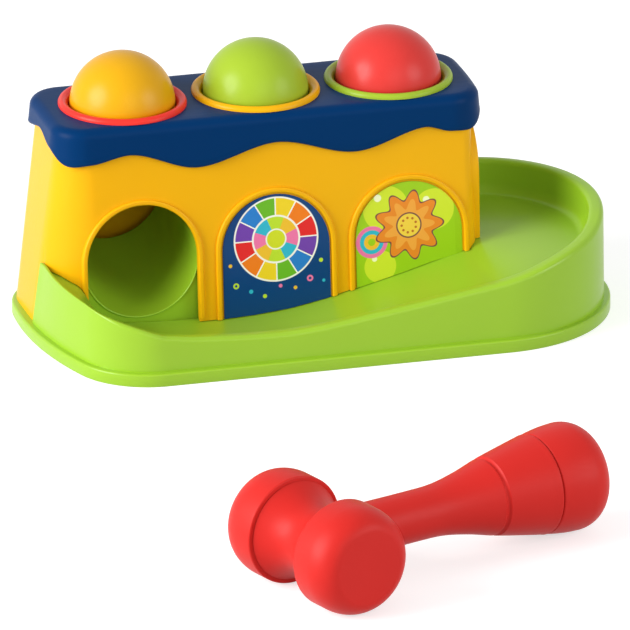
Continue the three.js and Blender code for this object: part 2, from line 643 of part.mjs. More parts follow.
// Rings, grip sleeves and balls at the three holes
const at = (x, y, z) => new THREE.Matrix4().makeTranslation(x, y, z);
const names = ["left", "middle", "right"];
const ringColors = [RED, YELLOW, LIME];
const ballColors = [YELLOW, LIME, RED];
const ringHalf = (RING_R - RING_BORE) / 2;
const bead = arcPoints(RING_BORE + ringHalf, 0, ringHalf, 0, 180, 5).map(([r, z]) => [
  r,
  TOP_Z + (z * RING_RISE) / ringHalf,
]);
const ringProfile = [...bead, [RING_BORE, TOP_Z - SLEEVE_DEPTH], [SLEEVE_R, TOP_Z - SLEEVE_DEPTH], [SLEEVE_R, TOP_Z]];
const gripTop = TOP_Z - SLEEVE_DEPTH;
const gripProfile = [
  [GRIP_BORE, gripTop - GRIP_DEPTH],
  [SLEEVE_R, gripTop - GRIP_DEPTH],
  [SLEEVE_R, gripTop],
  [GRIP_BORE, gripTop],
];
const halfShell = [
  ...arcPoints(0, 0, BALL_R, 0, 90, 5),
  ...arcPoints(0, 0, BALL_R - BALL_WALL, 90, 0, 2),
].map(([r, z]) => [Math.max(r, 0), z]);
holes.forEach((x, i) => {
  add("ring_" + names[i], revolve(ringProfile, 26, at(x, 0, 0)), ringColors[i]);
  add("grip_" + names[i], revolve(gripProfile, 20, at(x, 0, 0)), 0xd8d8d0);
  add("ball_" + names[i] + "_upper", revolve(halfShell, 20, at(x, 0, BALL_Z)), ballColors[i]);
  const lower = halfShell.map(([r, z]) => [r, -z]);
  add("ball_" + names[i] + "_lower", revolve(lower, 20, at(x, 0, BALL_Z)), ballColors[i]);
});

// Screws: cover screws stand under the lugs, base screws in the plate's seats.
function screw(name, x, y, seat, top) {
  const head = cylinder(SCREW_HEAD_R, seat - SCREW_HEAD_H, seat, x, y);
  add(name, head.add(cylinder(SCREW_R, seat - 0.5, top, x, y, 8)), STEEL);
}
coverScrews.forEach(([x, y], i) => screw("cover_screw_" + (i + 1), x, y, LUG_Z, COVER_SCREW_TOP));
housingScrews.forEach(([x, y], i) => screw("housing_screw_" + (i + 1), x, y, SCREW_SEAT, BASE_SCREW_TOP));
trayScrews.forEach(([x, y], i) => screw("tray_screw_" + (i + 1), x, y, SCREW_SEAT, TRAY_SCREW_TOP));

// Hammer, lying in front of the toy on its head and its flared end
const turn = THREE.MathUtils.degToRad(HAMMER_TURN);
const along = new THREE.Vector3(Math.cos(turn), Math.sin(turn), 0);
const across = new THREE.Vector3(Math.sin(turn), -Math.cos(turn), 0);
const up = new THREE.Vector3(0, 0, 1);
const headPlace = new THREE.Matrix4().makeBasis(along, up, across).setPosition(HAMMER_X, HAMMER_Y, HEAD_R);
const handlePlace = new THREE.Matrix4().makeBasis(up, across, along).setPosition(HAMMER_X, HAMMER_Y, HEAD_R);
const rounding = HEAD_R - HEAD_FACE_R;
const capStraight = HEAD_CAP_TO - HEAD_ROUND;
const capProfile = [
  [0, HEAD_CAP_FROM],
  [HEAD_R - 0.8, HEAD_CAP_FROM],
  [HEAD_R, HEAD_CAP_FROM + 0.8],
  ...arcPoints(0, 0, 1, 0, 90, 5).map(([c, s]) => [HEAD_FACE_R + rounding * c, capStraight + HEAD_ROUND * s]),
  [0, HEAD_CAP_TO],
];
const backProfile = capProfile.map(([r, z]) => [r, -z]);
add("hammer_cap_front", revolve(capProfile, 24, headPlace), RED);
add("hammer_cap_back", revolve(backProfile, 24, headPlace), RED);
const coreHalf = HEAD_CAP_FROM - GAP;
const waist = [];
for (let i = 0; i <= 12; i++) {
  const z = coreHalf * (i / 6 - 1);
  const share = (z / coreHalf) ** 2;
  waist.push([HEAD_WAIST_R + (HEAD_SHOULDER_R - HEAD_WAIST_R) * share, z]);
}
const core = revolve([[0, -coreHalf], ...waist, [0, coreHalf]], 24, headPlace);
const socketProfile = [[0, HANDLE_SOCKET], [HANDLE_R + GAP, HANDLE_SOCKET], [HANDLE_R + GAP, 40], [0, 40]];
add("hammer_head", core.subtract(revolve(socketProfile, 24, handlePlace)), RED);
function handleProfile(from, to, steps) {
  const even = Array.from({ length: steps + 1 }, (_, i) => from + ((to - from) * i) / steps);
  const plain = even.filter((z) => Math.abs(z - GROOVE_AT) > 2 * GROOVE_HALF);
  const places = [...plain, GROOVE_AT - GROOVE_HALF, GROOVE_AT, GROOVE_AT + GROOVE_HALF].sort((a, b) => a - b);
  const side = places.map((z) => [curve(HANDLE_KEYS, z) - (z === GROOVE_AT ? GROOVE_DEEP : 0), z]);
  return [[0, from], ...side, [0, to]];
}
add("hammer_handle", revolve(handleProfile(HANDLE_SOCKET + GAP, KNOB_FROM - GAP, 14), 24, handlePlace), RED);
const knobProfile = [
  [0, KNOB_FROM],
  [curve(HANDLE_KEYS, KNOB_FROM), KNOB_FROM],
  ...arcPoints(0, 0, 1, 0, 90, 5).map(([c, s]) => [
    HANDLE_FACE_R + (HANDLE_END_R - HANDLE_FACE_R) * c,
    HANDLE_LENGTH - HANDLE_ROUND + HANDLE_ROUND * s,
  ]),
  [0, HANDLE_LENGTH],
];
add("hammer_knob", revolve(knobProfile, 24, handlePlace), RED);

// The set's origin lies under the middle of its bounds.
const bounds = new THREE.Box3().setFromObject(root);
const middle = bounds.getCenter(new THREE.Vector3());
for (const node of root.children) node.geometry.translate(-middle.x, -middle.y, 0);

export default root;
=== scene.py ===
import math

import bmesh
import bpy
from mathutils import Matrix, Vector


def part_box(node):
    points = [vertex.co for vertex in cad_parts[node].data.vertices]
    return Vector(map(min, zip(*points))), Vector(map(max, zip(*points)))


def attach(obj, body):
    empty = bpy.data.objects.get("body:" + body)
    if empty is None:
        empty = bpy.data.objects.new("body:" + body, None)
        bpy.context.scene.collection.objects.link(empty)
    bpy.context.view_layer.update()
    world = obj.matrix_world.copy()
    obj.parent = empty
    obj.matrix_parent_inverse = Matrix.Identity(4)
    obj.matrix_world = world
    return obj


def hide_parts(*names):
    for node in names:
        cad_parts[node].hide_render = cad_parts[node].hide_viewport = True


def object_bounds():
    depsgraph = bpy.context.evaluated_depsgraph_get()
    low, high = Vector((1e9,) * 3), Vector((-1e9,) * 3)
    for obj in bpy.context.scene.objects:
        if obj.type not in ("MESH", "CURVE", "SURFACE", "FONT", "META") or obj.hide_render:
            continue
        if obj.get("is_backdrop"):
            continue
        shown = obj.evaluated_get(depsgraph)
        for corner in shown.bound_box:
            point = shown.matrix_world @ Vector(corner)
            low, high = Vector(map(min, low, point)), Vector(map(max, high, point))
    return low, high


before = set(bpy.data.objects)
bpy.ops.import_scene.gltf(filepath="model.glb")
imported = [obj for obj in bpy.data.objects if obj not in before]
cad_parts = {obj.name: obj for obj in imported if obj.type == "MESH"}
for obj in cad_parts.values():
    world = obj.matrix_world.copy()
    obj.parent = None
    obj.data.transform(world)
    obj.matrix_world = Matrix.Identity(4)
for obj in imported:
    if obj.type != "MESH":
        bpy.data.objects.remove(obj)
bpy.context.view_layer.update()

# Base plate: the shallow green plinth that everything stands on, moulded with a soft edge round its top.
# Seven self-tapping screws go up through it into the housing's and the tray's bosses.
MM = 1000
ring_low, ring_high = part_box("ring_middle")
middle_hole = (ring_low + ring_high) / 2


def at(x, y, z):
    """A point in the row frame from millimetres measured from the middle hole and the floor."""
    return Vector((middle_hole.x + x / MM, middle_hole.y + y / MM, z / MM))


def arc(cx, cy, radius, start, end, steps):
    """Points round a centre, from one angle in degrees to another."""
    turns = [math.radians(start + (end - start) * i / steps) for i in range(steps + 1)]
    return [(cx + radius * math.cos(t), cy + radius * math.sin(t)) for t in turns]


WELD, SLIVER = 2e-6, 1e-6


def tidy_faces(mesh):
    """Welds double points, drops slivers and turns every face outward."""
    shape = bmesh.new()
    shape.from_mesh(mesh)
    bmesh.ops.remove_doubles(shape, verts=shape.verts, dist=WELD)
    bmesh.ops.dissolve_degenerate(shape, edges=shape.edges, dist=SLIVER)
    bmesh.ops.recalc_face_normals(shape, faces=shape.faces)
    shape.to_mesh(mesh)
    shape.free()


def skin(name, rings, loop=False):
    """A closed mesh through rings of millimetre points: capped, or joined end to end where loop is set."""
    count = len(rings[0])
    points = [at(*p) for ring in rings for p in ring]
    faces = []
    for i in range(len(rings) if loop else len(rings) - 1):
        near = i * count
        far = (i + 1) % len(rings) * count
        for j in range(count):
            k = (j + 1) % count
            faces.append((near + j, near + k, far + k, far + j))
    if not loop:
        faces.append(tuple(reversed(range(count))))
        faces.append(tuple(range(len(points) - count, len(points))))
    mesh = bpy.data.meshes.new(name)
    mesh.from_pydata(points, [], faces)
    tidy_faces(mesh)
    piece = bpy.data.objects.new(name, mesh)
    bpy.context.scene.collection.objects.link(piece)
    return piece


def cut(piece, *tools):
    """Cuts each tool out of a piece and removes the tool."""
    for tool in tools:
        step = piece.modifiers.new("cut", "BOOLEAN")
        step.object = tool
        step.operation = "DIFFERENCE"
        step.solver = "EXACT"
        evaluated = piece.evaluated_get(bpy.context.evaluated_depsgraph_get())
        mesh = bpy.data.meshes.new_from_object(evaluated)
        piece.modifiers.clear()
        piece.data = mesh
        bpy.data.objects.remove(tool)
    return piece


# Sockets of a colour Mix node, which share their names with its other kinds.
MIX_A, MIX_B, MIX_RESULT = 6, 7, 2


def moulded_plastic(name, colour, gloss=0.3, grain=0.05, shine=0.2):
    """Injection-moulded plastic: faint flow tint, uneven polish, hairline rubs and a fine moulded skin."""
    material = bpy.data.materials.new(name)
    material.use_nodes = True
    nodes = material.node_tree.nodes
    links = material.node_tree.links
    shader = nodes["Principled BSDF"]
    shader.inputs["Specular IOR Level"].default_value = shine
    shader.inputs["IOR"].default_value = 1.49
    place = nodes.new("ShaderNodeTexCoord").outputs["Object"]

    flow = nodes.new("ShaderNodeTexNoise")
    flow.inputs["Scale"].default_value = 16
    flow.inputs["Detail"].default_value = 3
    links.new(place, flow.inputs["Vector"])
    tint = nodes.new("ShaderNodeMix")
    tint.data_type = "RGBA"
    tint.inputs[MIX_A].default_value = (*[c * 0.94 for c in colour], 1)
    tint.inputs[MIX_B].default_value = (*[min(1, c * 1.05) for c in colour], 1)
    links.new(flow.outputs["Fac"], tint.inputs[0])
    links.new(tint.outputs[MIX_RESULT], shader.inputs["Base Color"])

    rubs = nodes.new("ShaderNodeMapping")
    rubs.inputs["Scale"].default_value = (60, 900, 500)
    rubs.inputs["Rotation"].default_value = (0.3, 0.2, 0.5)
    links.new(place, rubs.inputs["Vector"])
    hairlines = nodes.new("ShaderNodeTexNoise")
    hairlines.inputs["Scale"].default_value = 1
    hairlines.inputs["Detail"].default_value = 2
    links.new(rubs.outputs["Vector"], hairlines.inputs["Vector"])
    polish = nodes.new("ShaderNodeMapRange")
    polish.inputs["From Min"].default_value = 0.35
    polish.inputs["From Max"].default_value = 0.75
    polish.inputs["To Min"].default_value = gloss
    polish.inputs["To Max"].default_value = gloss + 0.05
    links.new(hairlines.outputs["Fac"], polish.inputs["Value"])
    links.new(polish.outputs["Result"], shader.inputs["Roughness"])

    skin_grain = nodes.new("ShaderNodeTexNoise")
    skin_grain.inputs["Scale"].default_value = 1500
    skin_grain.inputs["Detail"].default_value = 2
    links.new(place, skin_grain.inputs["Vector"])
    bump = nodes.new("ShaderNodeBump")
    bump.inputs["Strength"].default_value = grain
    bump.inputs["Distance"].default_value = 0.0002
    links.new(skin_grain.outputs["Fac"], bump.inputs["Height"])
    links.new(bump.outputs["Normal"], shader.inputs["Normal"])
    return material


def seat(piece, material, slot, body, *nodes, sharp=35):
    """Smooths a finished piece, gives it its material and puts it on its body in place of its nodes."""
    piece.data.materials.clear()
    piece.data.materials.append(material)
    piece.data.shade_smooth()
    piece.data.set_sharp_from_angle(angle=math.radians(sharp))
    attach(piece, body)
    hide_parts(*nodes)


green = moulded_plastic("green_plastic", (0.3, 0.52, 0.022), shine=0.38)
PLINTH_HEIGHT, PLINTH_FLOOR = 5.7, 3
PLINTH_RIGHT, PLINTH_CORNER, LEAST_CORNER = 92.6, 8, 0.2
PLINTH_EDGE, PLINTH_BORDER, PLINTH_RECESS = 0.9, 7.6, 7.9
PLINTH_FOOT = [(0.5, 0), (0.15, 0.15), (0, 0.5)]
TURN_X, TURN_Y, TURN_RADIUS = 87.5, -32.3, 58
LEFT_X, LEFT_Y, LEFT_RADIUS = -105.4, -8, 175
BACK_Y = 39
FOOT_CORNER = 34
bow_x = LEFT_X + LEFT_RADIUS
front_y = TURN_Y - TURN_RADIUS


def bow_corner(y):
    """Centre of a left corner that runs into the bow of the left end."""
    return bow_x - math.sqrt((LEFT_RADIUS - FOOT_CORNER) ** 2 - (y - LEFT_Y) ** 2), y


front_corner = bow_corner(front_y + FOOT_CORNER)
back_corner = bow_corner(BACK_Y - FOOT_CORNER)
front_tangent = math.degrees(math.atan2(front_corner[1] - LEFT_Y, front_corner[0] - bow_x)) + 360
back_tangent = math.degrees(math.atan2(back_corner[1] - LEFT_Y, back_corner[0] - bow_x))


def plinth_ring(inset, z):
    """The plinth's outline at a height, drawn in by inset."""
    turn = TURN_RADIUS - inset
    meet = math.degrees(math.acos((PLINTH_RIGHT - inset - TURN_X) / turn))
    corner = max(PLINTH_CORNER - inset, LEAST_CORNER)
    ring = arc(TURN_X, TURN_Y, turn, -90, meet, 90)
    ring += arc(PLINTH_RIGHT - PLINTH_CORNER, BACK_Y - PLINTH_CORNER, corner, 0, 90, 12)
    ring += arc(*back_corner, FOOT_CORNER - inset, 90, back_tangent, 28)
    ring += arc(bow_x, LEFT_Y, LEFT_RADIUS - inset, back_tangent, front_tangent, 24)[1:]
    ring += arc(*front_corner, FOOT_CORNER - inset, front_tangent, 270, 28)[1:]
    return [(x, y, z) for x, y in ring]


plinth_rings = [plinth_ring(inset, z) for inset, z in PLINTH_FOOT]
for lean in range(0, 91, 15):
    t = math.radians(lean)
    rise = PLINTH_HEIGHT - PLINTH_EDGE + PLINTH_EDGE * math.sin(t)
    plinth_rings.append(plinth_ring(PLINTH_EDGE - PLINTH_EDGE * math.cos(t), rise))
plinth_rings += [plinth_ring(PLINTH_BORDER, PLINTH_HEIGHT), plinth_ring(PLINTH_RECESS, PLINTH_FLOOR)]
base_plate = skin("base_plate_moulding", plinth_rings)

HOUSING_SCREWS = [(-92, 4), (-28.2, -26.4), (-28.2, 26.8), (78, 27)]
TRAY_SCREWS = [(48, -58), (112, -60), (122, -14)]
SEAT_RADIUS, SEAT_FROM, SCREW_SEAT = 3.06, -1, 1.9
HOLE_RADIUS, HOLE_FROM, HOLE_TO = 1.7, 0.5, 6


def bore(name, radius, x, y, z0, z1, steps=40):
    """An upright cylinder, to cut a round hole with."""
    rings = [[(*p, z) for p in arc(x, y, radius, 0, 360, steps)[:-1]] for z in (z0, z1)]
    return skin(name, rings)


for x, y in HOUSING_SCREWS + TRAY_SCREWS:
    screw_seat = bore("seat", SEAT_RADIUS, x, y, SEAT_FROM, SCREW_SEAT)
    screw_hole = bore("hole", HOLE_RADIUS, x, y, HOLE_FROM, HOLE_TO)
    cut(base_plate, screw_seat, screw_hole)
seat(base_plate, green, "green_plastic", "bench", "base_plate")

# Ramp tray: one green moulding lofted along the ball's way, from the seam on the left end, round the front
# corner, up the front and round the U-turn at the right, with a hollow rounded rim on its outer side. It
# stands in the plinth's recess, where three screws hold it.
LEDGE = 2.7
HOUSING_TOP, HOUSING_LEFT = 92.5, -91.6
LEFT_CORNER_TOP, LEFT_CORNER_FOOT = 13, 27
LEFT_DRAFT, TRAY_DRAFT = 0.118, 0.01
TRAY_WALL, TRAY_FILLET, TRAY_GAP = 2.2, 5, 0.3
LEAST_FLOOR, FILLET_SHARE, HOLLOW_SHARE = 2.5, 0.8, 0.45
UNDER_RUN, UNDER_RISE, RIM_SKIN, ROOM_FOOT = 0.4, 0.5, 1, -1
SEAM_Y = -16
TRAY_INNER_X, TRAY_INNER_Y = 85.6, -31.2
POCKET_RADIUS, POCKET_START = 16, 196
TURN_END = 174
EXIT_FRONT, EXIT_BACK, EXIT_MARGIN = -27.6, 19.4, 5
BOW_STEPS, CORNER_STEPS, FRONT_STEPS, TURN_STEPS = 15, 27, 70, 80
# Keys are (place, value). Places run 0 to 1 round the left end and the front corner, 1 to 2 along the front
# and 2 to 3 round the U-turn.
TRAY_DRAFTS = [(0, LEFT_DRAFT), (0.7, TRAY_DRAFT)]
RIM_WIDTHS = [(0, 1.6), (0.3, 2.8), (0.5, 3.6), (0.9, 7)]
RIM_ROUNDS = [(0, 0.6), (0.5, 0.96), (0.75, 2.4)]
RIM_HEIGHTS = [
    (0, 33), (0.25, 31.8), (0.5, 29.3), (0.75, 25.9), (1, 21.3), (1.112, 19.3), (1.374, 18),
    (1.643, 22.8), (1.892, 28.5), (2.003, 31.3), (2.158, 37.3), (2.318, 41.8), (2.426, 45.2),
    (2.6, 47.6), (3, 47.6),
]
FLOOR_OUTER = [
    (0, 30.2), (0.28, 27.6), (0.56, 23.4), (0.74, 11.6), (1, 8), (1.24, 6.3), (1.45, 6.8),
    (1.6, 10.5), (1.9, 19), (2, 22), (2.2, 28), (2.45, 31.5), (2.7, 32.6), (3, 33),
]
FLOOR_INNER = [
    (0, 30.2), (0.28, 27.6), (0.56, 23.4), (0.74, 11.6), (1, 8), (1.24, 6.2), (1.45, 7.6),
    (1.59, 11), (1.8, 19), (1.979, 26.3), (2.15, 29), (2.5, 30.8), (3, 31),
]


def along_keys(keys, place):
    """A smooth curve through (place, value) keys, flat at both ends."""
    if place <= keys[0][0]:
        return keys[0][1]
    if place >= keys[-1][0]:
        return keys[-1][1]
    i = max(n for n, key in enumerate(keys) if key[0] <= place)

    def slope(k):
        if k <= 0 or k >= len(keys) - 1:
            return 0
        return (keys[k + 1][1] - keys[k - 1][1]) / (keys[k + 1][0] - keys[k - 1][0])

    span = keys[i + 1][0] - keys[i][0]
    t = (place - keys[i][0]) / span
    a, b = keys[i][1], keys[i + 1][1]
    rise = (t**3 - 2 * t**2 + t) * slope(i) * span + (t**3 - t**2) * slope(i + 1) * span
    return (2 * t**3 - 3 * t**2 + 1) * a + (3 * t**2 - 2 * t**3) * b + rise


def tray_stations():
    """The outer point, the inner point and the place of every section along the ball's way."""
    seam = 180 + math.degrees(math.asin((LEFT_Y - SEAM_Y) / (LEFT_RADIUS - LEDGE)))
    outer = arc(bow_x, LEFT_Y, LEFT_RADIUS - LEDGE, seam, front_tangent, BOW_STEPS)
    outer += arc(*front_corner, FOOT_CORNER - LEDGE, front_tangent, 270, CORNER_STEPS)[1:]
    pocket_x = HOUSING_LEFT - LEFT_DRAFT * HOUSING_TOP + LEFT_CORNER_FOOT
    pocket_y = TRAY_INNER_Y + POCKET_RADIUS
    inner = arc(pocket_x, pocket_y, POCKET_RADIUS, POCKET_START, 270, len(outer) - 1)
    stations = [(p, q, i / (len(outer) - 1)) for i, (p, q) in enumerate(zip(outer, inner))]
    for i in range(1, FRONT_STEPS + 1):
        t = i / FRONT_STEPS
        x = front_corner[0] + (TURN_X - front_corner[0]) * t
        inner_x = inner[-1][0] + (TRAY_INNER_X - inner[-1][0]) * t
        stations.append(((x, front_y + LEDGE), (inner_x, TRAY_INNER_Y), 1 + t))
    reach = TURN_RADIUS - LEDGE
    for i in range(1, TURN_STEPS + 1):
        t = i / TURN_STEPS
        a = math.radians(TURN_END * t - 90)
        p = (TURN_X + reach * math.cos(a), TURN_Y + reach * math.sin(a))
        inner_y = TRAY_INNER_Y + (EXIT_BACK - EXIT_MARGIN - TRAY_INNER_Y) * t
        stations.append((p, (TRAY_INNER_X, inner_y), 2 + t))
    return stations


def tray_section(p, q, place, grow=0.0, filled=False):
    """Wall, rim, floor and underside between two points, or the filled room that they take up."""
    reach = math.hypot(q[0] - p[0], q[1] - p[1])
    draft = along_keys(TRAY_DRAFTS, place)
    rim = along_keys(RIM_HEIGHTS, place) + grow
    soft = along_keys(RIM_ROUNDS, place)
    outer = along_keys(FLOOR_OUTER, place) + grow
    inner = along_keys(FLOOR_INNER, place) + grow
    lean = draft * (rim - PLINTH_HEIGHT) - grow
    width = along_keys(RIM_WIDTHS, place)
    inside = min(lean + width + 2 * grow, reach - LEAST_FLOOR)
    room = max(reach - inside - 1, 1)
    fillet = min(TRAY_FILLET, room, (rim - outer - soft) * FILLET_SHARE)
    slope = (inner - outer) / (reach - inside)
    quarter = [math.radians(90 * i / 7) for i in range(8)]
    section = [(-grow, ROOM_FOOT if filled else PLINTH_HEIGHT)]
    for t in quarter:
        section.append((lean + soft * (1 - math.cos(t)), rim - soft * (1 - math.sin(t))))
    for t in quarter:
        section.append((inside - soft * (1 - math.sin(t)), rim - soft * (1 - math.cos(t))))
    for t in quarter:
        run = fillet * (1 - math.cos(t))
        section.append((inside + run, outer + slope * run + fillet * (1 - math.sin(t))))
    end = reach + grow
    section.append((end, inner))
    if filled:
        section.append((end, ROOM_FOOT))
    else:
        under = min(TRAY_WALL, HOLLOW_SHARE * width)
        section.append((end, PLINTH_FLOOR))
        section.append((end - under, PLINTH_FLOOR))
        section.append((end - under, inner - under - slope * under))
        section.append((inside + fillet * UNDER_RUN, outer + slope * fillet * UNDER_RUN - under))
        section.append((inside - under, outer + fillet * UNDER_RISE - under * UNDER_RUN))
        section.append((inside - under, rim - under - RIM_SKIN))
        section.append((lean + under, rim - under - RIM_SKIN))
        section.append((under, PLINTH_HEIGHT))
    dx, dy = (q[0] - p[0]) / reach, (q[1] - p[1]) / reach
    return [(p[0] + dx * n, p[1] + dy * n, z) for n, z in section]


def tray_room():
    """What the tray takes up, with a little play, to cut its neighbours back from."""
    return skin("tray_room", [tray_section(*s, TRAY_GAP, True) for s in tray_stations()])


ramp_tray = skin("ramp_tray_moulding", [tray_section(*s) for s in tray_stations()])
seat(ramp_tray, green, "green_plastic", "bench", "ramp_tray")

# Ball tunnel: an open half pipe of green plastic under the left hole, moulded with rounded upper edges. It
# slopes forward to the arch, sweeps up at the back and is clipped inside the housing.
PITCH = 58.5
TUNNEL_RADIUS, TUNNEL_WALL = 24.6, 1.8
TUNNEL_FRONT, TUNNEL_BACK = -30, 26
TUNNEL_SIDE = 6
TUNNEL_FRONT_Z, TUNNEL_SLOPE = 34.2, 0.19
SCOOP_FROM, SCOOP_RISE = 4, 4
TUNNEL_STEPS, PIPE_STEPS, LIP_STEPS = 12, 64, 8


def tunnel_ring(y):
    """The half pipe's closed outline at one depth."""
    scoop = SCOOP_RISE * max(0, (y - SCOOP_FROM) / (TUNNEL_BACK - SCOOP_FROM)) ** 2
    axis = TUNNEL_FRONT_Z + (y - TUNNEL_FRONT) * TUNNEL_SLOPE + scoop
    lip = TUNNEL_WALL / 2
    edge = arc(0, 0, lip, 0, 180, LIP_STEPS)
    outside = arc(0, 0, TUNNEL_RADIUS + TUNNEL_WALL, 180, 360, PIPE_STEPS)
    inside = arc(0, 0, TUNNEL_RADIUS, 360, 180, PIPE_STEPS)
    right = [(TUNNEL_RADIUS + lip + x, TUNNEL_SIDE + z) for x, z in edge]
    left = [(-TUNNEL_RADIUS - lip + x, TUNNEL_SIDE + z) for x, z in edge]
    return [(x - PITCH, y, z + axis) for x, z in outside + right + inside + left]


tunnel_length = TUNNEL_BACK - TUNNEL_FRONT
depths = [TUNNEL_FRONT + tunnel_length * i / TUNNEL_STEPS for i in range(TUNNEL_STEPS + 1)]
ball_tunnel = skin("ball_tunnel_moulding", [tunnel_ring(y) for y in depths])
seat(ball_tunnel, green, "green_plastic", "bench", "ball_tunnel")

# Tunnel front plate: a thin green plate at the pipe's mouth, which closes the arch's lower corners. A fine
# bead runs round the bore, and its foot follows the tray's floor.
PLATE_FRONT, PLATE_BACK = -30.3, -28.2
PLATE_STEPS = 96
BEAD, BEAD_STEPS = 0.9, 6
bead_turn = [math.radians(180 - 180 * i / BEAD_STEPS) for i in range(BEAD_STEPS + 1)]
plate_rings = []
for i in range(PLATE_STEPS + 1):
    t = math.radians(180 + 180 * i / PLATE_STEPS)
    c, s = math.cos(t), math.sin(t)
    corner = 1 / max(abs(c) / (TUNNEL_RADIUS + TUNNEL_WALL), -s / (TUNNEL_FRONT_Z - PLINTH_FLOOR))
    profile = [(TUNNEL_RADIUS, PLATE_BACK)]
    for a in bead_turn:
        bead_radius = TUNNEL_RADIUS + BEAD * (1 + math.cos(a)) / 2
        profile.append((bead_radius, PLATE_FRONT - BEAD * math.sin(a) / 2))
    profile += [(corner, PLATE_FRONT), (corner, PLATE_BACK)]
    plate_rings.append([(r * c - PITCH, y, r * s + TUNNEL_FRONT_Z) for r, y in profile])
front_plate = skin("tunnel_front_plate", plate_rings)
cut(front_plate, tray_room())
seat(front_plate, green, "green_plastic", "bench")

# Inner chute: a plain sloping channel of green plastic under the middle and right holes, seen only through
# the exit. Its flat walls are the solid's own, so it keeps its node and takes the green finish.
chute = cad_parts["inner_chute"]
chute.data.materials.clear()
chute.data.materials.append(green)

# Housing: a drafted yellow shell, moulded open below and screwed to the base plate. It has an arch for the
# tunnel and an exit to the ramp at the right end, with raised frames round both and round the label fields.
yellow = moulded_plastic("yellow_plastic", (0.85, 0.425, 0.003), shine=0.15)
HOUSING_RIGHT, HOUSING_HALF, HOUSING_WALL = 87.9, 27.4, 2.2
SIDE_DRAFT, RIGHT_DRAFT = 0.095, 0.015
RIGHT_CORNER = 5
HOUSING_LEVELS, ARCH_STEPS = 10, 72
ARCH_RADIUS, ARCH_SPRING, ARCH_CUT = 24.4, 35.6, (-60, -10)
FRAME_WIDTH, FRAME_PROUD, FRAME_LAP, FRAME_SOFT = 2.2, 1.3, 0.15, 0.7
ARCH_FRAMES = (("left", -PITCH, 2, 8), ("middle", 0, 0.4, 6), ("right", PITCH, 0.4, 6))
EXIT_TOP, EXIT_CUT = 82, (60, 120)
EXIT_FRAME_WIDTH, EXIT_FRAME_PROUD, EXIT_FRAME_DEPTH = 1.8, 2.35, 6
EXIT_FRAME_LAP, EXIT_FRAME_FOOT = 0.4, 6
quarter_turn = [math.radians(90 * i / 5) for i in range(6)]


def rounded_plan(left, right, half, left_corner, right_corner, z, steps=20):
    """A rectangle with rounded corners at one height."""
    corners = [
        (left + left_corner, left_corner - half, left_corner, 180),
        (right - right_corner, right_corner - half, right_corner, 270),
        (right - right_corner, half - right_corner, right_corner, 0),
        (left + left_corner, half - left_corner, left_corner, 90),
    ]
    return [(*p, z) for x, y, r, a in corners for p in arc(x, y, r, a, a + 90, steps)]


def housing_ring(z, offset):
    """The drafted shell's outline at one height, set out by offset."""
    down = HOUSING_TOP - z
    left_corner = LEFT_CORNER_TOP + (LEFT_CORNER_FOOT - LEFT_CORNER_TOP) * down / HOUSING_TOP + offset
    return rounded_plan(
        HOUSING_LEFT - LEFT_DRAFT * down - offset,
        HOUSING_RIGHT + RIGHT_DRAFT * down + offset,
        HOUSING_HALF + SIDE_DRAFT * down + offset,
        left_corner,
        RIGHT_CORNER + offset,
        z,
    )


housing_rise = HOUSING_TOP - PLINTH_HEIGHT
levels = [PLINTH_HEIGHT + housing_rise * i / HOUSING_LEVELS for i in range(HOUSING_LEVELS + 1)]
walls = [housing_ring(z, 0) for z in levels] + [housing_ring(z, -HOUSING_WALL) for z in reversed(levels)]
housing = skin("housing_moulding", walls, loop=True)


def arch_outline(centre, radius, spring, foot):
    """A round arch on straight legs, from foot to foot."""
    top = arc(centre, spring, radius, 0, 180, ARCH_STEPS)
    return [(centre + radius, foot)] + top + [(centre - radius, foot)]


tunnel_outline = arch_outline(-PITCH, ARCH_RADIUS, ARCH_SPRING, 0)
tunnel_prism = skin("arch", [[(x, y, z) for x, z in tunnel_outline] for y in ARCH_CUT])
exit_radius = (EXIT_BACK - EXIT_FRONT) / 2
exit_centre = (EXIT_BACK + EXIT_FRONT) / 2
exit_spring = EXIT_TOP - exit_radius
exit_outline = arch_outline(exit_centre, exit_radius, exit_spring, 0)
exit_prism = skin("exit", [[(x, y, z) for y, z in exit_outline] for x in EXIT_CUT])
cut(housing, tunnel_prism, exit_prism, tray_room())
seat(housing, yellow, "yellow_plastic", "bench", "body_housing", sharp=30)


def swept_frame(name, path, normal, depth, proud=FRAME_PROUD, width=FRAME_WIDTH):
    """A rounded strip along a path of millimetre points on a face, sunk into it by depth."""
    soft = FRAME_SOFT
    profile = [(0, -depth)]
    profile += [(soft - soft * math.cos(t), proud - soft + soft * math.sin(t)) for t in quarter_turn]
    far = width - soft
    profile += [(far + soft * math.sin(t), proud - soft + soft * math.cos(t)) for t in quarter_turn]
    profile += [(width, -depth)]
    points = [Vector(p) for p in path]
    rings = []
    for i, point in enumerate(points):
        ahead = points[min(i + 1, len(points) - 1)] - points[max(i - 1, 0)]
        side = ahead.normalized().cross(normal)
        rings.append([tuple(point + side * s + normal * h) for s, h in profile])
    return skin(name, rings)


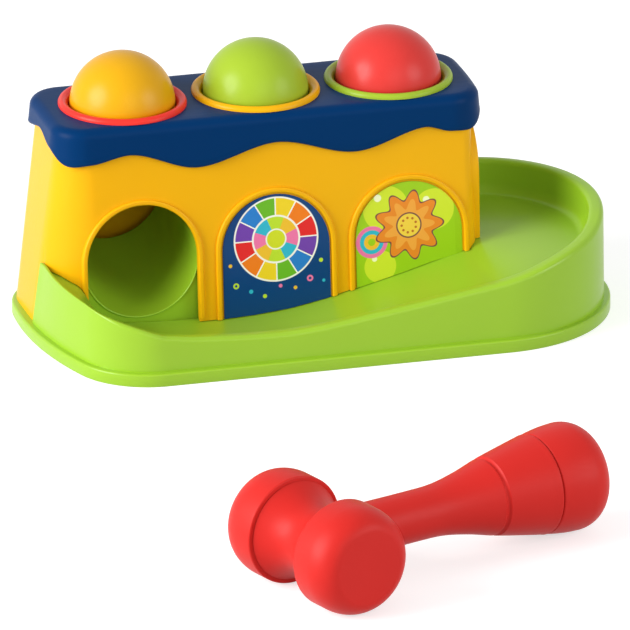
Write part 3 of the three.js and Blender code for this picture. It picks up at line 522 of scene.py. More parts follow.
front_normal = Vector((0, -1, SIDE_DRAFT)).normalized()
right_normal = Vector((1, 0, RIGHT_DRAFT)).normalized()
for name, centre, depth, foot in ARCH_FRAMES:
    outline = arch_outline(centre, ARCH_RADIUS - FRAME_LAP, ARCH_SPRING, foot)
    path = [(x, -HOUSING_HALF - SIDE_DRAFT * (HOUSING_TOP - z), z) for x, z in outline]
    arch_frame = swept_frame("arch_frame_" + name, path, front_normal, depth)
    seat(cut(arch_frame, tray_room()), yellow, "yellow_plastic", "bench")
outline = arch_outline(exit_centre, exit_radius - EXIT_FRAME_LAP, exit_spring, EXIT_FRAME_FOOT)
path = [(HOUSING_RIGHT + RIGHT_DRAFT * (HOUSING_TOP - z), y, z) for y, z in outline]
exit_frame = swept_frame(
    "exit_frame", path, right_normal, EXIT_FRAME_DEPTH, EXIT_FRAME_PROUD, EXIT_FRAME_WIDTH
)
seat(cut(exit_frame, tray_room()), yellow, "yellow_plastic", "bench")

# Labels: two printed films stuck in the front arches. The prints are plain designs: a wheel of coloured
# wedges with confetti on navy, and a many-petalled flower with arcs and bubbles on lime.
FILM_ROUGHNESS, FILM_SHINE, PRINT_SOFT = 0.32, 0.25, 0.12


def printed_film(name):
    material = bpy.data.materials.new(name)
    material.use_nodes = True
    shader = material.node_tree.nodes["Principled BSDF"]
    shader.inputs["Roughness"].default_value = FILM_ROUGHNESS
    shader.inputs["Specular IOR Level"].default_value = FILM_SHINE
    return material


def maths(tree, operation, a, b=0.0, c=0.0):
    """The output of a maths node on numbers or sockets."""
    node = tree.nodes.new("ShaderNodeMath")
    node.operation = operation
    for socket, value in zip(node.inputs, (a, b, c)):
        if isinstance(value, (int, float)):
            socket.default_value = value
        else:
            tree.links.new(value, socket)
    return node.outputs[0]


def ink(tree, under, mask, colour):
    """Lays a colour over another where the mask is 1."""
    node = tree.nodes.new("ShaderNodeMix")
    node.data_type = "RGBA"
    tree.links.new(mask, node.inputs[0])
    for socket, value in ((node.inputs[MIX_A], under), (node.inputs[MIX_B], colour)):
        if isinstance(value, tuple):
            socket.default_value = value
        else:
            tree.links.new(value, socket)
    return node.outputs[MIX_RESULT]


def film_plane(tree, centre_x, centre_z):
    """Millimetres across and up from a point on the film."""
    split = tree.nodes.new("ShaderNodeSeparateXYZ")
    tree.links.new(tree.nodes.new("ShaderNodeTexCoord").outputs["Object"], split.inputs[0])
    origin = at(centre_x, 0, centre_z)
    across = maths(tree, "MULTIPLY", maths(tree, "SUBTRACT", split.outputs["X"], origin.x), MM)
    up = maths(tree, "MULTIPLY", maths(tree, "SUBTRACT", split.outputs["Z"], origin.z), MM)
    return across, up


def distance_from(tree, across, up, x, z):
    dx = maths(tree, "SUBTRACT", across, x)
    dz = maths(tree, "SUBTRACT", up, z)
    square = maths(tree, "ADD", maths(tree, "MULTIPLY", dx, dx), maths(tree, "MULTIPLY", dz, dz))
    return maths(tree, "SQRT", square)


def band(tree, value, low, high):
    """1 between low and high, with a short soft edge."""
    enter = tree.nodes.new("ShaderNodeMapRange")
    leave = tree.nodes.new("ShaderNodeMapRange")
    for node, edge in ((enter, low), (leave, high)):
        tree.links.new(value, node.inputs["Value"])
        node.inputs["From Min"].default_value = edge - PRINT_SOFT
        node.inputs["From Max"].default_value = edge + PRINT_SOFT
    return maths(tree, "SUBTRACT", enter.outputs[0], leave.outputs[0])


def wedges(tree, angle, count, colours, shift):
    """Colours in turn round the centre, as a hard-stepped ramp over one repeat."""
    turn = maths(tree, "ADD", maths(tree, "DIVIDE", angle, 2 * math.pi), 1 + shift)
    share = maths(tree, "FRACT", maths(tree, "MULTIPLY", turn, count / len(colours)))
    ramp = tree.nodes.new("ShaderNodeValToRGB")
    ramp.color_ramp.interpolation = "CONSTANT"
    stops = ramp.color_ramp.elements
    while len(stops) < len(colours):
        stops.new(0.5)
    for i, colour in enumerate(colours):
        stops[i].position = i / len(colours)
        stops[i].color = (*colour, 1)
    tree.links.new(share, ramp.inputs[0])
    return ramp.outputs[0], turn


WHITE = (0.9, 0.88, 0.82, 1)
RAINBOW = [
    (0.75, 0.02, 0.02), (0.85, 0.2, 0.01), (0.85, 0.62, 0.02),
    (0.14, 0.45, 0.02), (0.02, 0.2, 0.6), (0.16, 0.05, 0.4),
]
PASTELS = [(0.85, 0.18, 0.4), (0.85, 0.5, 0.03), (0.5, 0.7, 0.03), (0.03, 0.45, 0.62)]
CENTRE = -1
NAVY_GROUND, HUB_COLOUR = (0.0, 0.048, 0.19, 1), (0.62, 0.68, 0.02, 1)
WHEEL_Z, WHEEL_RADIUS, INNER_RADIUS, HUB_RADIUS = 39.5, 18.3, 10.4, 4.4
OUTER_WEDGES, INNER_WEDGES, INNER_SHIFT = 12, 8, 0.06
SPOKE_FROM, SPOKE_WIDTH, SPOKE_SPREAD = 10, 0.28, 0.52
CONFETTI_HOLLOW = 0.45
CONFETTI = [
    (-18, -19, 1.3, 2), (-11.5, -22, 0.9, 3), (14.5, -18.5, 1.4, 0), (19.5, -11, 0.9, 2),
    (8, -22, 0.8, 1), (-20.3, -10, 0.8, 1), (20.5, -20, 0.7, 3), (1.5, -20.6, 0.8, 0),
    (-5.5, -24.5, 0.9, 2), (18.8, 15.5, 0.8, 1), (-18.8, 15.3, 0.9, 3),
]
wheel_film = printed_film("wheel_print")
tree = wheel_film.node_tree
across, up = film_plane(tree, 0, WHEEL_Z)
radius = distance_from(tree, across, up, 0, 0)
angle = maths(tree, "ARCTAN2", up, across)
outer_colours, turn = wedges(tree, angle, OUTER_WEDGES, RAINBOW, 0)
inner_colours, _ = wedges(tree, angle, INNER_WEDGES, PASTELS, INNER_SHIFT)
gap = maths(tree, "PINGPONG", maths(tree, "MULTIPLY", turn, OUTER_WEDGES), 0.5)
from_spoke = maths(tree, "MULTIPLY", gap, maths(tree, "MULTIPLY", radius, SPOKE_SPREAD))
spoke = maths(tree, "LESS_THAN", from_spoke, SPOKE_WIDTH)
spoke = maths(tree, "MULTIPLY", spoke, band(tree, radius, SPOKE_FROM, WHEEL_RADIUS))
colour = ink(tree, NAVY_GROUND, band(tree, radius, CENTRE, WHEEL_RADIUS), outer_colours)
colour = ink(tree, colour, spoke, WHITE)
WHEEL_RINGS = (
    (CENTRE, INNER_RADIUS, inner_colours),
    (9.8, 10.6, WHITE),
    (17.9, 18.6, WHITE),
    (CENTRE, HUB_RADIUS, HUB_COLOUR),
    (4, 4.6, WHITE),
)
for low, high, paint in WHEEL_RINGS:
    colour = ink(tree, colour, band(tree, radius, low, high), paint)
for x, z, size, shade in CONFETTI:
    spot = distance_from(tree, across, up, x, z)
    hollow = size * CONFETTI_HOLLOW if size > 1 else CENTRE
    colour = ink(tree, colour, band(tree, spot, hollow, size), (*PASTELS[shade], 1))
tree.links.new(colour, tree.nodes["Principled BSDF"].inputs["Base Color"])

LIME_GROUND, BUBBLE, BUBBLE_SHINE = (0.33, 0.58, 0.01, 1), (0.62, 0.74, 0.03, 1), (0.9, 0.92, 0.6, 1)
FLOWER_LINE, PETAL_EDGE, PETAL = (0.16, 0.05, 0.06, 1), (0.8, 0.24, 0.02, 1), (0.86, 0.36, 0.05, 1)
FLOWER_HEART, SEED_COLOUR = (0.87, 0.6, 0.06, 1), (0.5, 0.14, 0.02, 1)
FLOWER_Z, PETALS, PETAL_DEPTH, PETAL_FROM = 40, 9, 2.2, -5
SEEDS, SEED_RADIUS, SEED_RING = 9, 0.55, 3.2
BUBBLES = ((-10, 8, 10), (11, 6, 9), (-13, -17, 7))
ARC_X, ARC_Z = -16.5, -6
ARC_BANDS = ((5.2, 7, 0), (3.4, 5.2, 3), (1.6, 3.4, 1))
flower_film = printed_film("flower_print")
tree = flower_film.node_tree
across, up = film_plane(tree, PITCH, FLOWER_Z)
radius = distance_from(tree, across, up, 0, 0)
angle = maths(tree, "ARCTAN2", up, across)
colour = LIME_GROUND
for x, z, size in BUBBLES:
    bubble = distance_from(tree, across, up, x, z)
    colour = ink(tree, colour, band(tree, bubble, CENTRE, size), BUBBLE)
    shine = distance_from(tree, across, up, x - size * 0.35, z + size * 0.5)
    colour = ink(tree, colour, band(tree, shine, CENTRE, size * 0.16), BUBBLE_SHINE)
from_arc = distance_from(tree, across, up, ARC_X, ARC_Z)
for low, high, shade in ARC_BANDS:
    colour = ink(tree, colour, band(tree, from_arc, low, high), (*PASTELS[shade], 1))
petal = maths(tree, "COSINE", maths(tree, "MULTIPLY", angle, PETALS))
edge = maths(tree, "SUBTRACT", radius, maths(tree, "MULTIPLY", petal, PETAL_DEPTH))
FLOWER_LAYERS = (
    (edge, PETAL_FROM, 13.4, FLOWER_LINE),
    (edge, PETAL_FROM, 12.7, PETAL_EDGE),
    (edge, PETAL_FROM, 9.2, PETAL),
    (radius, CENTRE, 5.6, FLOWER_LINE),
    (radius, CENTRE, 5, FLOWER_HEART),
)
for value, low, high, paint in FLOWER_LAYERS:
    colour = ink(tree, colour, band(tree, value, low, high), paint)
for i in range(SEEDS):
    a = math.radians(360 / SEEDS * (i + 0.5))
    seed = distance_from(tree, across, up, SEED_RING * math.cos(a), SEED_RING * math.sin(a))
    colour = ink(tree, colour, band(tree, seed, CENTRE, SEED_RADIUS), SEED_COLOUR)
tree.links.new(colour, tree.nodes["Principled BSDF"].inputs["Base Color"])
for node, film in (("label_middle", wheel_film), ("label_right", flower_film)):
    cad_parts[node].data.materials.clear()
    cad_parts[node].data.materials.append(film)

# Top cover: a navy lid moulded with a soft top edge and a wavy skirt that laps over the housing. Three holes
# take the rings, its right end is slightly bowed, and four screws from inside hold it down.
navy = moulded_plastic("navy_plastic", (0.0, 0.03, 0.12), gloss=0.34, shine=0.05)
TOP_Z = 95
COVER_LEFT, COVER_RIGHT, COVER_HALF = -94.6, 92.4, 29.9
COVER_FILLET, COVER_CORNER, COVER_DRAFT, COVER_WALL = 4.5, 14, 0.09, 2.0
SLEEVE_RADIUS, SLEEVE_DEPTH, SLEEVE_GAP = 24.6, 6, 0.3
END_BOW, DECK_INSET = 1.6, 3
LONG_STEPS, END_STEPS, CORNER_LEAN = 120, 24, 5
half_turn = [math.radians(180 * i / 8) for i in range(9)]
cover_middle = (COVER_LEFT + COVER_RIGHT) / 2
edge_x = (COVER_RIGHT - COVER_LEFT) / 2 - COVER_CORNER
edge_y = COVER_HALF - COVER_CORNER
WAVE = [
    (-edge_x, 15.4), (-60.5, 12.6), (-32.5, 20.6), (2.5, 12.9), (37, 20.3), (67, 12.6), (edge_x, 15.4),
]
END_WAVE = [(-edge_y, 11), (0, 8), (edge_y, 11)]
CORNER_WAVE = [(0, 11), (48, 16), (90, 15.4)]


def skirt_stations():
    """A point, its outward direction and the skirt's drop there, all the way round."""
    stations = []

    def side(count, start, end, normal, wave):
        for i in range(count):
            x = start[0] + (end[0] - start[0]) * i / count
            y = start[1] + (end[1] - start[1]) * i / count
            stations.append((x, y, normal, along_keys(wave, y if normal[0] else x)))

    def corner(x, y, start):
        for i in range(90 // CORNER_LEAN):
            a = math.radians(start + CORNER_LEAN * i)
            from_end = math.degrees(math.asin(min(1, abs(math.sin(a)))))
            stations.append((x, y, (math.cos(a), math.sin(a)), along_keys(CORNER_WAVE, from_end)))

    side(LONG_STEPS, (-edge_x, -edge_y), (edge_x, -edge_y), (0, -1), WAVE)
    corner(edge_x, -edge_y, -90)
    side(END_STEPS, (edge_x, -edge_y), (edge_x, edge_y), (1, 0), END_WAVE)
    corner(edge_x, edge_y, 0)
    side(LONG_STEPS, (edge_x, edge_y), (-edge_x, edge_y), (0, 1), WAVE)
    corner(-edge_x, edge_y, 90)
    side(END_STEPS, (-edge_x, edge_y), (-edge_x, -edge_y), (-1, 0), END_WAVE)
    corner(-edge_x, -edge_y, 180)
    return stations


def skirt_section(drop):
    """The cover's edge from the deck's underside, round the skirt's lip and up to the deck."""
    shoulder = TOP_Z - COVER_FILLET
    low = TOP_Z - drop
    flare = COVER_DRAFT * (shoulder - low)
    lip = COVER_WALL / 2
    deck = COVER_CORNER - COVER_FILLET
    section = [(deck - DECK_INSET, HOUSING_TOP), (COVER_CORNER - COVER_WALL, HOUSING_TOP)]
    middle = COVER_CORNER - lip + flare
    section += [(middle - lip * math.cos(t), low + lip - lip * math.sin(t)) for t in half_turn]
    for i in range(1, 5):
        z = low + lip + (shoulder - low - lip) * i / 5
        section.append((COVER_CORNER + COVER_DRAFT * (shoulder - z), z))
    for i in range(10):
        t = math.radians(10 * i)
        n = COVER_CORNER - COVER_FILLET * (1 - math.cos(t))
        section.append((n, shoulder + COVER_FILLET * math.sin(t)))
    section.append((deck - DECK_INSET, TOP_Z))
    return section


columns = []
for x, y, normal, drop in skirt_stations():
    column = []
    for n, z in skirt_section(drop):
        at_y = y + normal[1] * n
        right_end = x == edge_x and normal[0] > 0
        bow = END_BOW * max(0, 1 - (at_y / COVER_HALF) ** 2) if right_end else 0
        column.append((cover_middle + x + normal[0] * n + bow, at_y, z))
    columns.append(column)
top_cover = skin("top_cover_moulding", [list(ring) for ring in zip(*columns)])
for x in (-PITCH, 0, PITCH):
    cut(top_cover, bore("hole", SLEEVE_RADIUS + SLEEVE_GAP, x, 0, HOUSING_TOP - 1, TOP_Z + 1, 96))
seat(top_cover, navy, "navy_plastic", "bench", "top_cover", sharp=30)

# Rings, grips and balls: a rounded plastic ring snaps into each hole, a soft sleeve under it holds the ball,
# and each ball is two half shells welded at the equator, with a fine parting line.
BALL_RADIUS, BALL_WALL, BALL_Z = 22.5, 2.2, 95.2
SEAM_DEPTH, SEAM_ANGLE = 0.25, 1.2
RING_RADIUS, RING_BORE, RING_RISE, RING_EDGE = 27.4, 22.95, 2.3, 0.4
GRIP_BORE, GRIP_DEPTH, GRIP_LEAD, GRIP_LEAD_HEIGHT = 22.8, 6, 0.5, 1


def turned(name, profile, place, steps=112):
    """A piece turned round its axis from a closed profile of (radius, height), set by a matrix."""
    rings = []
    for i in range(steps):
        a = 2 * math.pi * i / steps
        rings.append([tuple(place @ Vector((r * math.cos(a), r * math.sin(a), z))) for r, z in profile])
    return skin(name, rings, loop=True)


red = moulded_plastic("red_plastic", (0.62, 0.022, 0.017), gloss=0.42, shine=0.15)
ring_red = moulded_plastic("ring_red_plastic", (0.85, 0.035, 0.025))
ball_red = moulded_plastic("ball_red_plastic", (0.68, 0.042, 0.035))
ball_yellow = moulded_plastic("ball_yellow_plastic", (0.72, 0.365, 0.004))
lime = moulded_plastic("lime_plastic", (0.335, 0.49, 0.028))
soft_grip = moulded_plastic("soft_grip_rubber", (0.62, 0.62, 0.58), gloss=0.62, grain=0.15)
bead = [
    (RING_RADIUS, 0), (RING_RADIUS, 0.8), (27.1, 1.5), (26.6, 2), (26, RING_RISE), (25.3, 2.2), (24.5, 1.8),
    (23.8, 1.2), (23.2, 0.4), (RING_BORE, -0.5),
]
bead = [(r, TOP_Z + z) for r, z in bead]
gripped = TOP_Z - SLEEVE_DEPTH
ring_profile = bead + [
    (RING_BORE, gripped + RING_EDGE), (RING_BORE + RING_EDGE, gripped), (SLEEVE_RADIUS, gripped),
    (SLEEVE_RADIUS, TOP_Z),
]
grip_foot = gripped - GRIP_DEPTH
grip_profile = [
    (GRIP_BORE + GRIP_LEAD, grip_foot), (SLEEVE_RADIUS, grip_foot), (SLEEVE_RADIUS, gripped),
    (GRIP_BORE + GRIP_LEAD, gripped), (GRIP_BORE, gripped - GRIP_LEAD_HEIGHT),
    (GRIP_BORE, grip_foot + GRIP_LEAD_HEIGHT),
]
outside = [(BALL_RADIUS - SEAM_DEPTH, 0)] + arc(0, 0, BALL_RADIUS, SEAM_ANGLE, 90, 36)
shell = [(max(r, 0), z) for r, z in outside + arc(0, 0, BALL_RADIUS - BALL_WALL, 90, 0, 14)]
HOLES = (
    ("left", -PITCH, ring_red, "red_plastic", ball_yellow, "yellow_plastic"),
    ("middle", 0, yellow, "yellow_plastic", lime, "lime_plastic"),
    ("right", PITCH, lime, "lime_plastic", ball_red, "red_plastic"),
)
for name, x, ring_finish, ring_slot, ball_finish, ball_slot in HOLES:
    hole = Matrix.Translation((x, 0, 0))
    ring = turned("ring_bead_" + name, ring_profile, hole)
    seat(ring, ring_finish, ring_slot, "bench", "ring_" + name)
    grip = turned("grip_sleeve_" + name, grip_profile, hole)
    seat(grip, soft_grip, "soft_grip", "bench", "grip_" + name)
    for half, sign in (("upper", 1), ("lower", -1)):
        profile = [(r, sign * z) for r, z in shell]
        ball = turned("ball_shell_" + name + "_" + half, profile, Matrix.Translation((x, 0, BALL_Z)))
        seat(ball, ball_finish, ball_slot, name + "_ball", "ball_" + name + "_" + half)

# Screws: plain steel self-tapping screws with cross recesses, four up into the cover from inside, four into
# the housing and three into the tray. One tree stands a screw of the right length at every seat.
SCREW_RADIUS, SCREW_HEAD, SCREW_HEAD_HEIGHT = 1.4, 2.7, 1.5
RECESS_SPAN, RECESS_WIDTH, RECESS_DEPTH = 3.4, 0.75, 0.8
COVER_SCREWS = [(-PITCH / 2, -21), (PITCH / 2, -21), (-PITCH / 2, 21), (PITCH / 2, 21)]
COVER_SEAT = 82
SCREW_SETS = (
    ("cover", COVER_SCREWS, COVER_SEAT, 8),
    ("housing", HOUSING_SCREWS, SCREW_SEAT, 14),
    ("tray", TRAY_SCREWS, SCREW_SEAT, 8),
)
steel = bpy.data.materials.new("screw_steel")
steel.use_nodes = True
metal = steel.node_tree.nodes["Principled BSDF"]
metal.inputs["Metallic"].default_value = 1
brushed = steel.node_tree.nodes.new("ShaderNodeTexNoise")
brushed.inputs["Scale"].default_value = 900
shade = steel.node_tree.nodes.new("ShaderNodeValToRGB")
shade.color_ramp.elements[0].color = (0.42, 0.42, 0.43, 1)
shade.color_ramp.elements[1].color = (0.62, 0.62, 0.63, 1)
polish = steel.node_tree.nodes.new("ShaderNodeMapRange")
polish.inputs["To Min"].default_value = 0.25
polish.inputs["To Max"].default_value = 0.45
place = steel.node_tree.nodes.new("ShaderNodeTexCoord")
steel.node_tree.links.new(place.outputs["Object"], brushed.inputs["Vector"])
steel.node_tree.links.new(brushed.outputs["Fac"], shade.inputs[0])
steel.node_tree.links.new(brushed.outputs["Fac"], polish.inputs["Value"])
steel.node_tree.links.new(shade.outputs["Color"], metal.inputs["Base Color"])
steel.node_tree.links.new(polish.outputs["Result"], metal.inputs["Roughness"])


def screw_tree():
    """A head with a cross recess and a shank, stood on every point at named sizes in metres."""
    tree = bpy.data.node_groups.new("screws", "GeometryNodeTree")
    tree.interface.new_socket("Seats", in_out="INPUT", socket_type="NodeSocketGeometry")
    lengths = ("Head Radius", "Head Height", "Shank Radius", "Shank Length")
    for name in lengths + ("Recess Span", "Recess Width", "Recess Depth"):
        tree.interface.new_socket(name, in_out="INPUT", socket_type="NodeSocketFloat")
    tree.interface.new_socket("Finish", in_out="INPUT", socket_type="NodeSocketMaterial")
    tree.interface.new_socket("Screws", in_out="OUTPUT", socket_type="NodeSocketGeometry")
    nodes, links = tree.nodes, tree.links
    given = nodes.new("NodeGroupInput")
    shapes = nodes.new("GeometryNodeJoinGeometry")
    recess = nodes.new("GeometryNodeMeshBoolean")
    recess.operation = "DIFFERENCE"
    recess.solver = "EXACT"
    links.new(recess.outputs["Mesh"], shapes.inputs[0])
    for radius, depth, up in (("Head Radius", "Head Height", -0.5), ("Shank Radius", "Shank Length", 0.5)):
        round_bar = nodes.new("GeometryNodeMeshCylinder")
        round_bar.inputs["Vertices"].default_value = 24
        links.new(given.outputs[radius], round_bar.inputs["Radius"])
        links.new(given.outputs[depth], round_bar.inputs["Depth"])
        offset = nodes.new("ShaderNodeCombineXYZ")
        links.new(maths(tree, "MULTIPLY", given.outputs[depth], up), offset.inputs["Z"])
        move = nodes.new("GeometryNodeTransform")
        links.new(round_bar.outputs["Mesh"], move.inputs["Geometry"])
        links.new(offset.outputs[0], move.inputs["Translation"])
        links.new(move.outputs[0], recess.inputs["Mesh 1"] if up < 0 else shapes.inputs[0])
    head_face = nodes.new("ShaderNodeCombineXYZ")
    links.new(maths(tree, "MULTIPLY", given.outputs["Head Height"], -1), head_face.inputs["Z"])
    arm_height = maths(tree, "MULTIPLY", given.outputs["Recess Depth"], 2)
    for x, y in (("Recess Span", "Recess Width"), ("Recess Width", "Recess Span")):
        size = nodes.new("ShaderNodeCombineXYZ")
        links.new(given.outputs[x], size.inputs["X"])
        links.new(given.outputs[y], size.inputs["Y"])
        links.new(arm_height, size.inputs["Z"])
        arm = nodes.new("GeometryNodeMeshCube")
        links.new(size.outputs[0], arm.inputs["Size"])
        move = nodes.new("GeometryNodeTransform")
        links.new(arm.outputs["Mesh"], move.inputs["Geometry"])
        links.new(head_face.outputs[0], move.inputs["Translation"])
        links.new(move.outputs[0], recess.inputs["Mesh 2"])
    stand = nodes.new("GeometryNodeInstanceOnPoints")
    real = nodes.new("GeometryNodeRealizeInstances")
    finish = nodes.new("GeometryNodeSetMaterial")
    out = nodes.new("NodeGroupOutput")
    links.new(given.outputs["Seats"], stand.inputs["Points"])
    links.new(shapes.outputs[0], stand.inputs["Instance"])
    links.new(stand.outputs[0], real.inputs[0])
    links.new(real.outputs[0], finish.inputs["Geometry"])
    links.new(given.outputs["Finish"], finish.inputs["Material"])
    links.new(finish.outputs[0], out.inputs[0])
    return tree


def stand_screws(name, tree, seats, z, shank, nodes):
    """Stands a screw on every seat as one finished mesh in place of its nodes."""
    points = bpy.data.meshes.new(name)
    points.from_pydata([at(x, y, z) for x, y in seats], [], [])
    screws = bpy.data.objects.new(name, points)
    bpy.context.scene.collection.objects.link(screws)
    modifier = screws.modifiers.new("screws", "NODES")
    modifier.node_group = tree
    sizes = {
        "Head Radius": SCREW_HEAD / MM,
        "Head Height": SCREW_HEAD_HEIGHT / MM,
        "Shank Radius": SCREW_RADIUS / MM,
        "Shank Length": shank / MM,
        "Recess Span": RECESS_SPAN / MM,
        "Recess Width": RECESS_WIDTH / MM,
        "Recess Depth": RECESS_DEPTH / MM,
        "Finish": steel,
    }
    for item in tree.interface.items_tree:
        if item.item_type == "SOCKET" and item.name in sizes:
            modifier[item.identifier] = sizes[item.name]
    evaluated = screws.evaluated_get(bpy.context.evaluated_depsgraph_get())
    mesh = bpy.data.meshes.new_from_object(evaluated)
    screws.modifiers.clear()
    screws.data = mesh
    seat(screws, steel, "screw_steel", "bench", *nodes)


screws = screw_tree()
for name, seats, z, shank in SCREW_SETS:
    nodes = [f"{name}_screw_{i + 1}" for i in range(len(seats))]
    stand_screws(name + "_screws", screws, seats, z, shank, nodes)

# Hammer: five red mouldings pressed together, a waisted head between two rounded caps, and a handle that
# flares to a knob, with a fine groove at each joint and one round the handle. It lies on its head and knob.
HEAD_RADIUS, CAP_FROM, CAP_TO = 23.4, 15.6, 37.9
FACE_RADIUS, FACE_ROUND = 15, 13
SHOULDER_RADIUS, WAIST_RADIUS = 21.4, 14.5
SPIGOT, PRESSED = 3, 0.2
HANDLE_SOCKET, KNOB_FROM, HANDLE_LENGTH = 6, 112, 139.2
HANDLE_END, HANDLE_FACE, HANDLE_ROUND = 23.1, 12, 12
GROOVE_AT, GROOVE_HALF, GROOVE_DEEP = 87, 1.2, 0.9
HANDLE_SHAPE = [(6, 11), (50, 10.8), (62, 11.2), (75, 13.5), (87, 16.6), (100, 19.3), (112, 21.5), (125, 23)]
HANDLE_ROWS = ((6.3, 3, 27), (85.5, 0.15, 21), (90, 2, 11))
HAMMER_X, HAMMER_Y = -65.5, -337
CAP_EDGE, JOINT_EDGE, JOINT_GAP = 0.8, 0.7, 0.3
WAIST_STEPS, ROUND_STEPS = 40, 24
handle_turn = math.radians(20.3)
along = Vector((math.cos(handle_turn), math.sin(handle_turn), 0))
sideways = Vector((math.sin(handle_turn), -math.cos(handle_turn), 0))
upright = Vector((0, 0, 1))


def laid(x_axis, y_axis, z_axis):
    """Sets a turned piece down on the floor with its axes along these directions."""
    turn = Matrix((x_axis, y_axis, z_axis)).transposed().to_4x4()
    return Matrix.Translation((HAMMER_X, HAMMER_Y, HEAD_RADIUS)) @ turn


head_place = laid(along, upright, sideways)
handle_place = laid(upright, sideways, along)
quarter_circle = arc(0, 0, 1, 0, 90, ROUND_STEPS)
rim = HEAD_RADIUS - CAP_EDGE
edge_z = CAP_FROM + CAP_EDGE
cap = [(0, CAP_FROM), (rim, CAP_FROM)]
cap += [(rim + CAP_EDGE * math.sin(t), edge_z - CAP_EDGE * math.cos(t)) for t in quarter_turn]
cap += [
    (FACE_RADIUS + (HEAD_RADIUS - FACE_RADIUS) * c, CAP_TO - FACE_ROUND + FACE_ROUND * s)
    for c, s in quarter_circle
]
cap += [(FACE_RADIUS * share, CAP_TO) for share in (0.66, 0.33, 0)]
for name, sign in (("front", 1), ("back", -1)):
    hammer_cap = turned("hammer_cap_moulding_" + name, [(r, sign * z) for r, z in cap], head_place)
    seat(hammer_cap, red, "red_plastic", "hammer", "hammer_cap_" + name)
half = CAP_FROM - JOINT_GAP
pin = SHOULDER_RADIUS - SPIGOT
waist = [(0, -CAP_FROM - PRESSED), (pin, -CAP_FROM - PRESSED), (pin, -half)]
for i in range(WAIST_STEPS + 1):
    z = half * (2 * i / WAIST_STEPS - 1)
    waist.append((WAIST_RADIUS + (SHOULDER_RADIUS - WAIST_RADIUS) * (z / half) ** 2, z))
waist += [(pin, half), (pin, CAP_FROM + PRESSED), (0, CAP_FROM + PRESSED)]
hammer_head = turned("hammer_head_moulding", waist, head_place)
seat(hammer_head, red, "red_plastic", "hammer", "hammer_head")


def handle_radius(z):
    """The handle's radius along it, with the groove round it."""
    away = abs(z - GROOVE_AT) / GROOVE_HALF
    groove = GROOVE_DEEP * (1 - away**2) if away < 1 else 0
    return along_keys(HANDLE_SHAPE, z) - groove


grip_end = KNOB_FROM - JOINT_GAP
end_radius = handle_radius(grip_end)
edge_radius = end_radius - JOINT_EDGE
edge_z = grip_end - JOINT_EDGE
spots = [start + step * i for start, step, count in HANDLE_ROWS for i in range(count)]
handle = [(0, HANDLE_SOCKET + JOINT_GAP)]
handle += [(handle_radius(z), z) for z in spots if z < edge_z]
handle += [(edge_radius + JOINT_EDGE * math.cos(t), edge_z + JOINT_EDGE * math.sin(t)) for t in quarter_turn]
pin = end_radius - SPIGOT
handle += [(pin, grip_end), (pin, KNOB_FROM + PRESSED), (0, KNOB_FROM + PRESSED)]
hammer_handle = turned("hammer_handle_moulding", handle, handle_place)
seat(hammer_handle, red, "red_plastic", "hammer", "hammer_handle")
edge_radius = along_keys(HANDLE_SHAPE, KNOB_FROM) - JOINT_EDGE
edge_z = KNOB_FROM + JOINT_EDGE
knob = [(0, KNOB_FROM)]
knob += [(edge_radius + JOINT_EDGE * math.sin(t), edge_z - JOINT_EDGE * math.cos(t)) for t in quarter_turn]
knob += [(along_keys(HANDLE_SHAPE, z), z) for z in (115, 118, 121, 124)]
knob += [
    (HANDLE_FACE + (HANDLE_END - HANDLE_FACE) * c, HANDLE_LENGTH - HANDLE_ROUND + HANDLE_ROUND * s)
    for c, s in quarter_circle
]
knob += [(HANDLE_FACE * 0.5, HANDLE_LENGTH), (0, HANDLE_LENGTH)]
hammer_knob = turned("hammer_knob_moulding", knob, handle_place)
seat(hammer_knob, red, "red_plastic", "hammer", "hammer_knob")

# Studio: a pale floor that keeps soft shadows and a white world, both pure white where they are seen directly
# or mirrored. One large soft key stands at the left, with a weak fill in front and one at the right.
FLOOR_HALF, FLOOR_GREY, FLOOR_GLOW, WORLD_LIGHT = 40, 0.62, 0.62, 0.44
PURE_WHITE = (1, 1, 1, 1)


def seen_directly(tree):
    """1 for rays from the camera, mirrored or passed through, 0 for the light that falls on the part."""
    rays = tree.nodes.new("ShaderNodeLightPath").outputs
    seen = maths(tree, "MAXIMUM", rays["Is Camera Ray"], rays["Is Glossy Ray"])
    return maths(tree, "MAXIMUM", seen, rays["Is Transmission Ray"])


scene = bpy.context.scene
scene.view_settings.view_transform = "Standard"
floor_mesh = bpy.data.meshes.new("studio_floor")
floor_corners = [(FLOOR_HALF * x, FLOOR_HALF * y, 0) for x, y in ((-1, -1), (1, -1), (1, 1), (-1, 1))]
floor_mesh.from_pydata(floor_corners, [], [(0, 1, 2, 3)])
floor = bpy.data.objects.new("studio_floor", floor_mesh)
scene.collection.objects.link(floor)
floor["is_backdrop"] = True
floor_paint = bpy.data.materials.new("studio_floor_paint")
floor_paint.use_nodes = True
tree = floor_paint.node_tree
matt = tree.nodes["Principled BSDF"]
matt.inputs["Base Color"].default_value = (FLOOR_GREY, FLOOR_GREY, FLOOR_GREY, 1)
matt.inputs["Roughness"].default_value = 1
matt.inputs["Specular IOR Level"].default_value = 0
matt.inputs["Emission Color"].default_value = PURE_WHITE
glow = maths(tree, "MULTIPLY", seen_directly(tree), FLOOR_GLOW)
tree.links.new(glow, matt.inputs["Emission Strength"])
floor_mesh.materials.append(floor_paint)

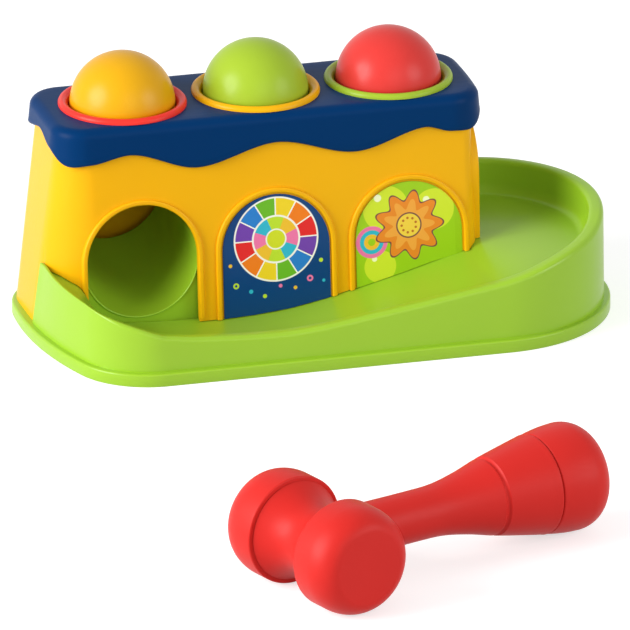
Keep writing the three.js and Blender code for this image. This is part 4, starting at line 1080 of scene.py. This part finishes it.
world = bpy.data.worlds.new("studio_world")
scene.world = world
world.use_nodes = True
tree = world.node_tree
sky = tree.nodes["Background"]
glow = maths(tree, "MULTIPLY", seen_directly(tree), 1 - WORLD_LIGHT)
tree.links.new(maths(tree, "ADD", glow, WORLD_LIGHT), sky.inputs["Strength"])
sky.inputs["Color"].default_value = PURE_WHITE


def soft_box(name, place, aim, size, power):
    """A round area light of a size in metres and a power in watts, turned to a point."""
    lamp = bpy.data.lights.new(name, "AREA")
    lamp.shape = "DISK"
    lamp.size = size
    lamp.energy = power
    holder = bpy.data.objects.new(name, lamp)
    holder.location = place
    holder.rotation_euler = (Vector(aim) - Vector(place)).to_track_quat("-Z", "Y").to_euler()
    scene.collection.objects.link(holder)


soft_box("key_left", (-1.75, -0.2, 0.75), (0, 0.1, 0.05), 1.3, 46)
soft_box("fill_front", (0.1, -1.9, 0.9), (0, 0, 0.05), 1.4, 5.5)
soft_box("fill_right", (1.5, -1.2, 0.7), (0.1, 0.1, 0.05), 1.2, 15)

# Camera: far off with a long lens, front left and above, as the photograph was taken. The angles, the focal
# length in pixels and the shifts in metres were fitted to the balls, the rings and the base.
azimuth, elevation = math.radians(-15.34), math.radians(20.93)
FOCAL_PIXELS, FRAME_PIXELS, SENSOR, CLIP_END = 29500, 630, 36, 100
DISTANCE, SIDE_STEP, LIFT = 12.41, -0.0389, 0.0498
right = Vector((math.cos(azimuth), math.sin(azimuth), 0))
level = Vector((-math.sin(azimuth), math.cos(azimuth), 0))
ahead = level * math.cos(elevation) - Vector((0, 0, math.sin(elevation)))
above = right.cross(ahead)
lens = bpy.data.cameras.new("camera")
lens.sensor_width = SENSOR
lens.lens = FOCAL_PIXELS * SENSOR / FRAME_PIXELS
lens.clip_end = CLIP_END
camera = bpy.data.objects.new("camera", lens)
camera.location = right * SIDE_STEP + above * LIFT - ahead * DISTANCE
camera.rotation_euler = Matrix((right, above, -ahead)).transposed().to_euler()
scene.collection.objects.link(camera)
scene.camera = camera

low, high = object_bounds()
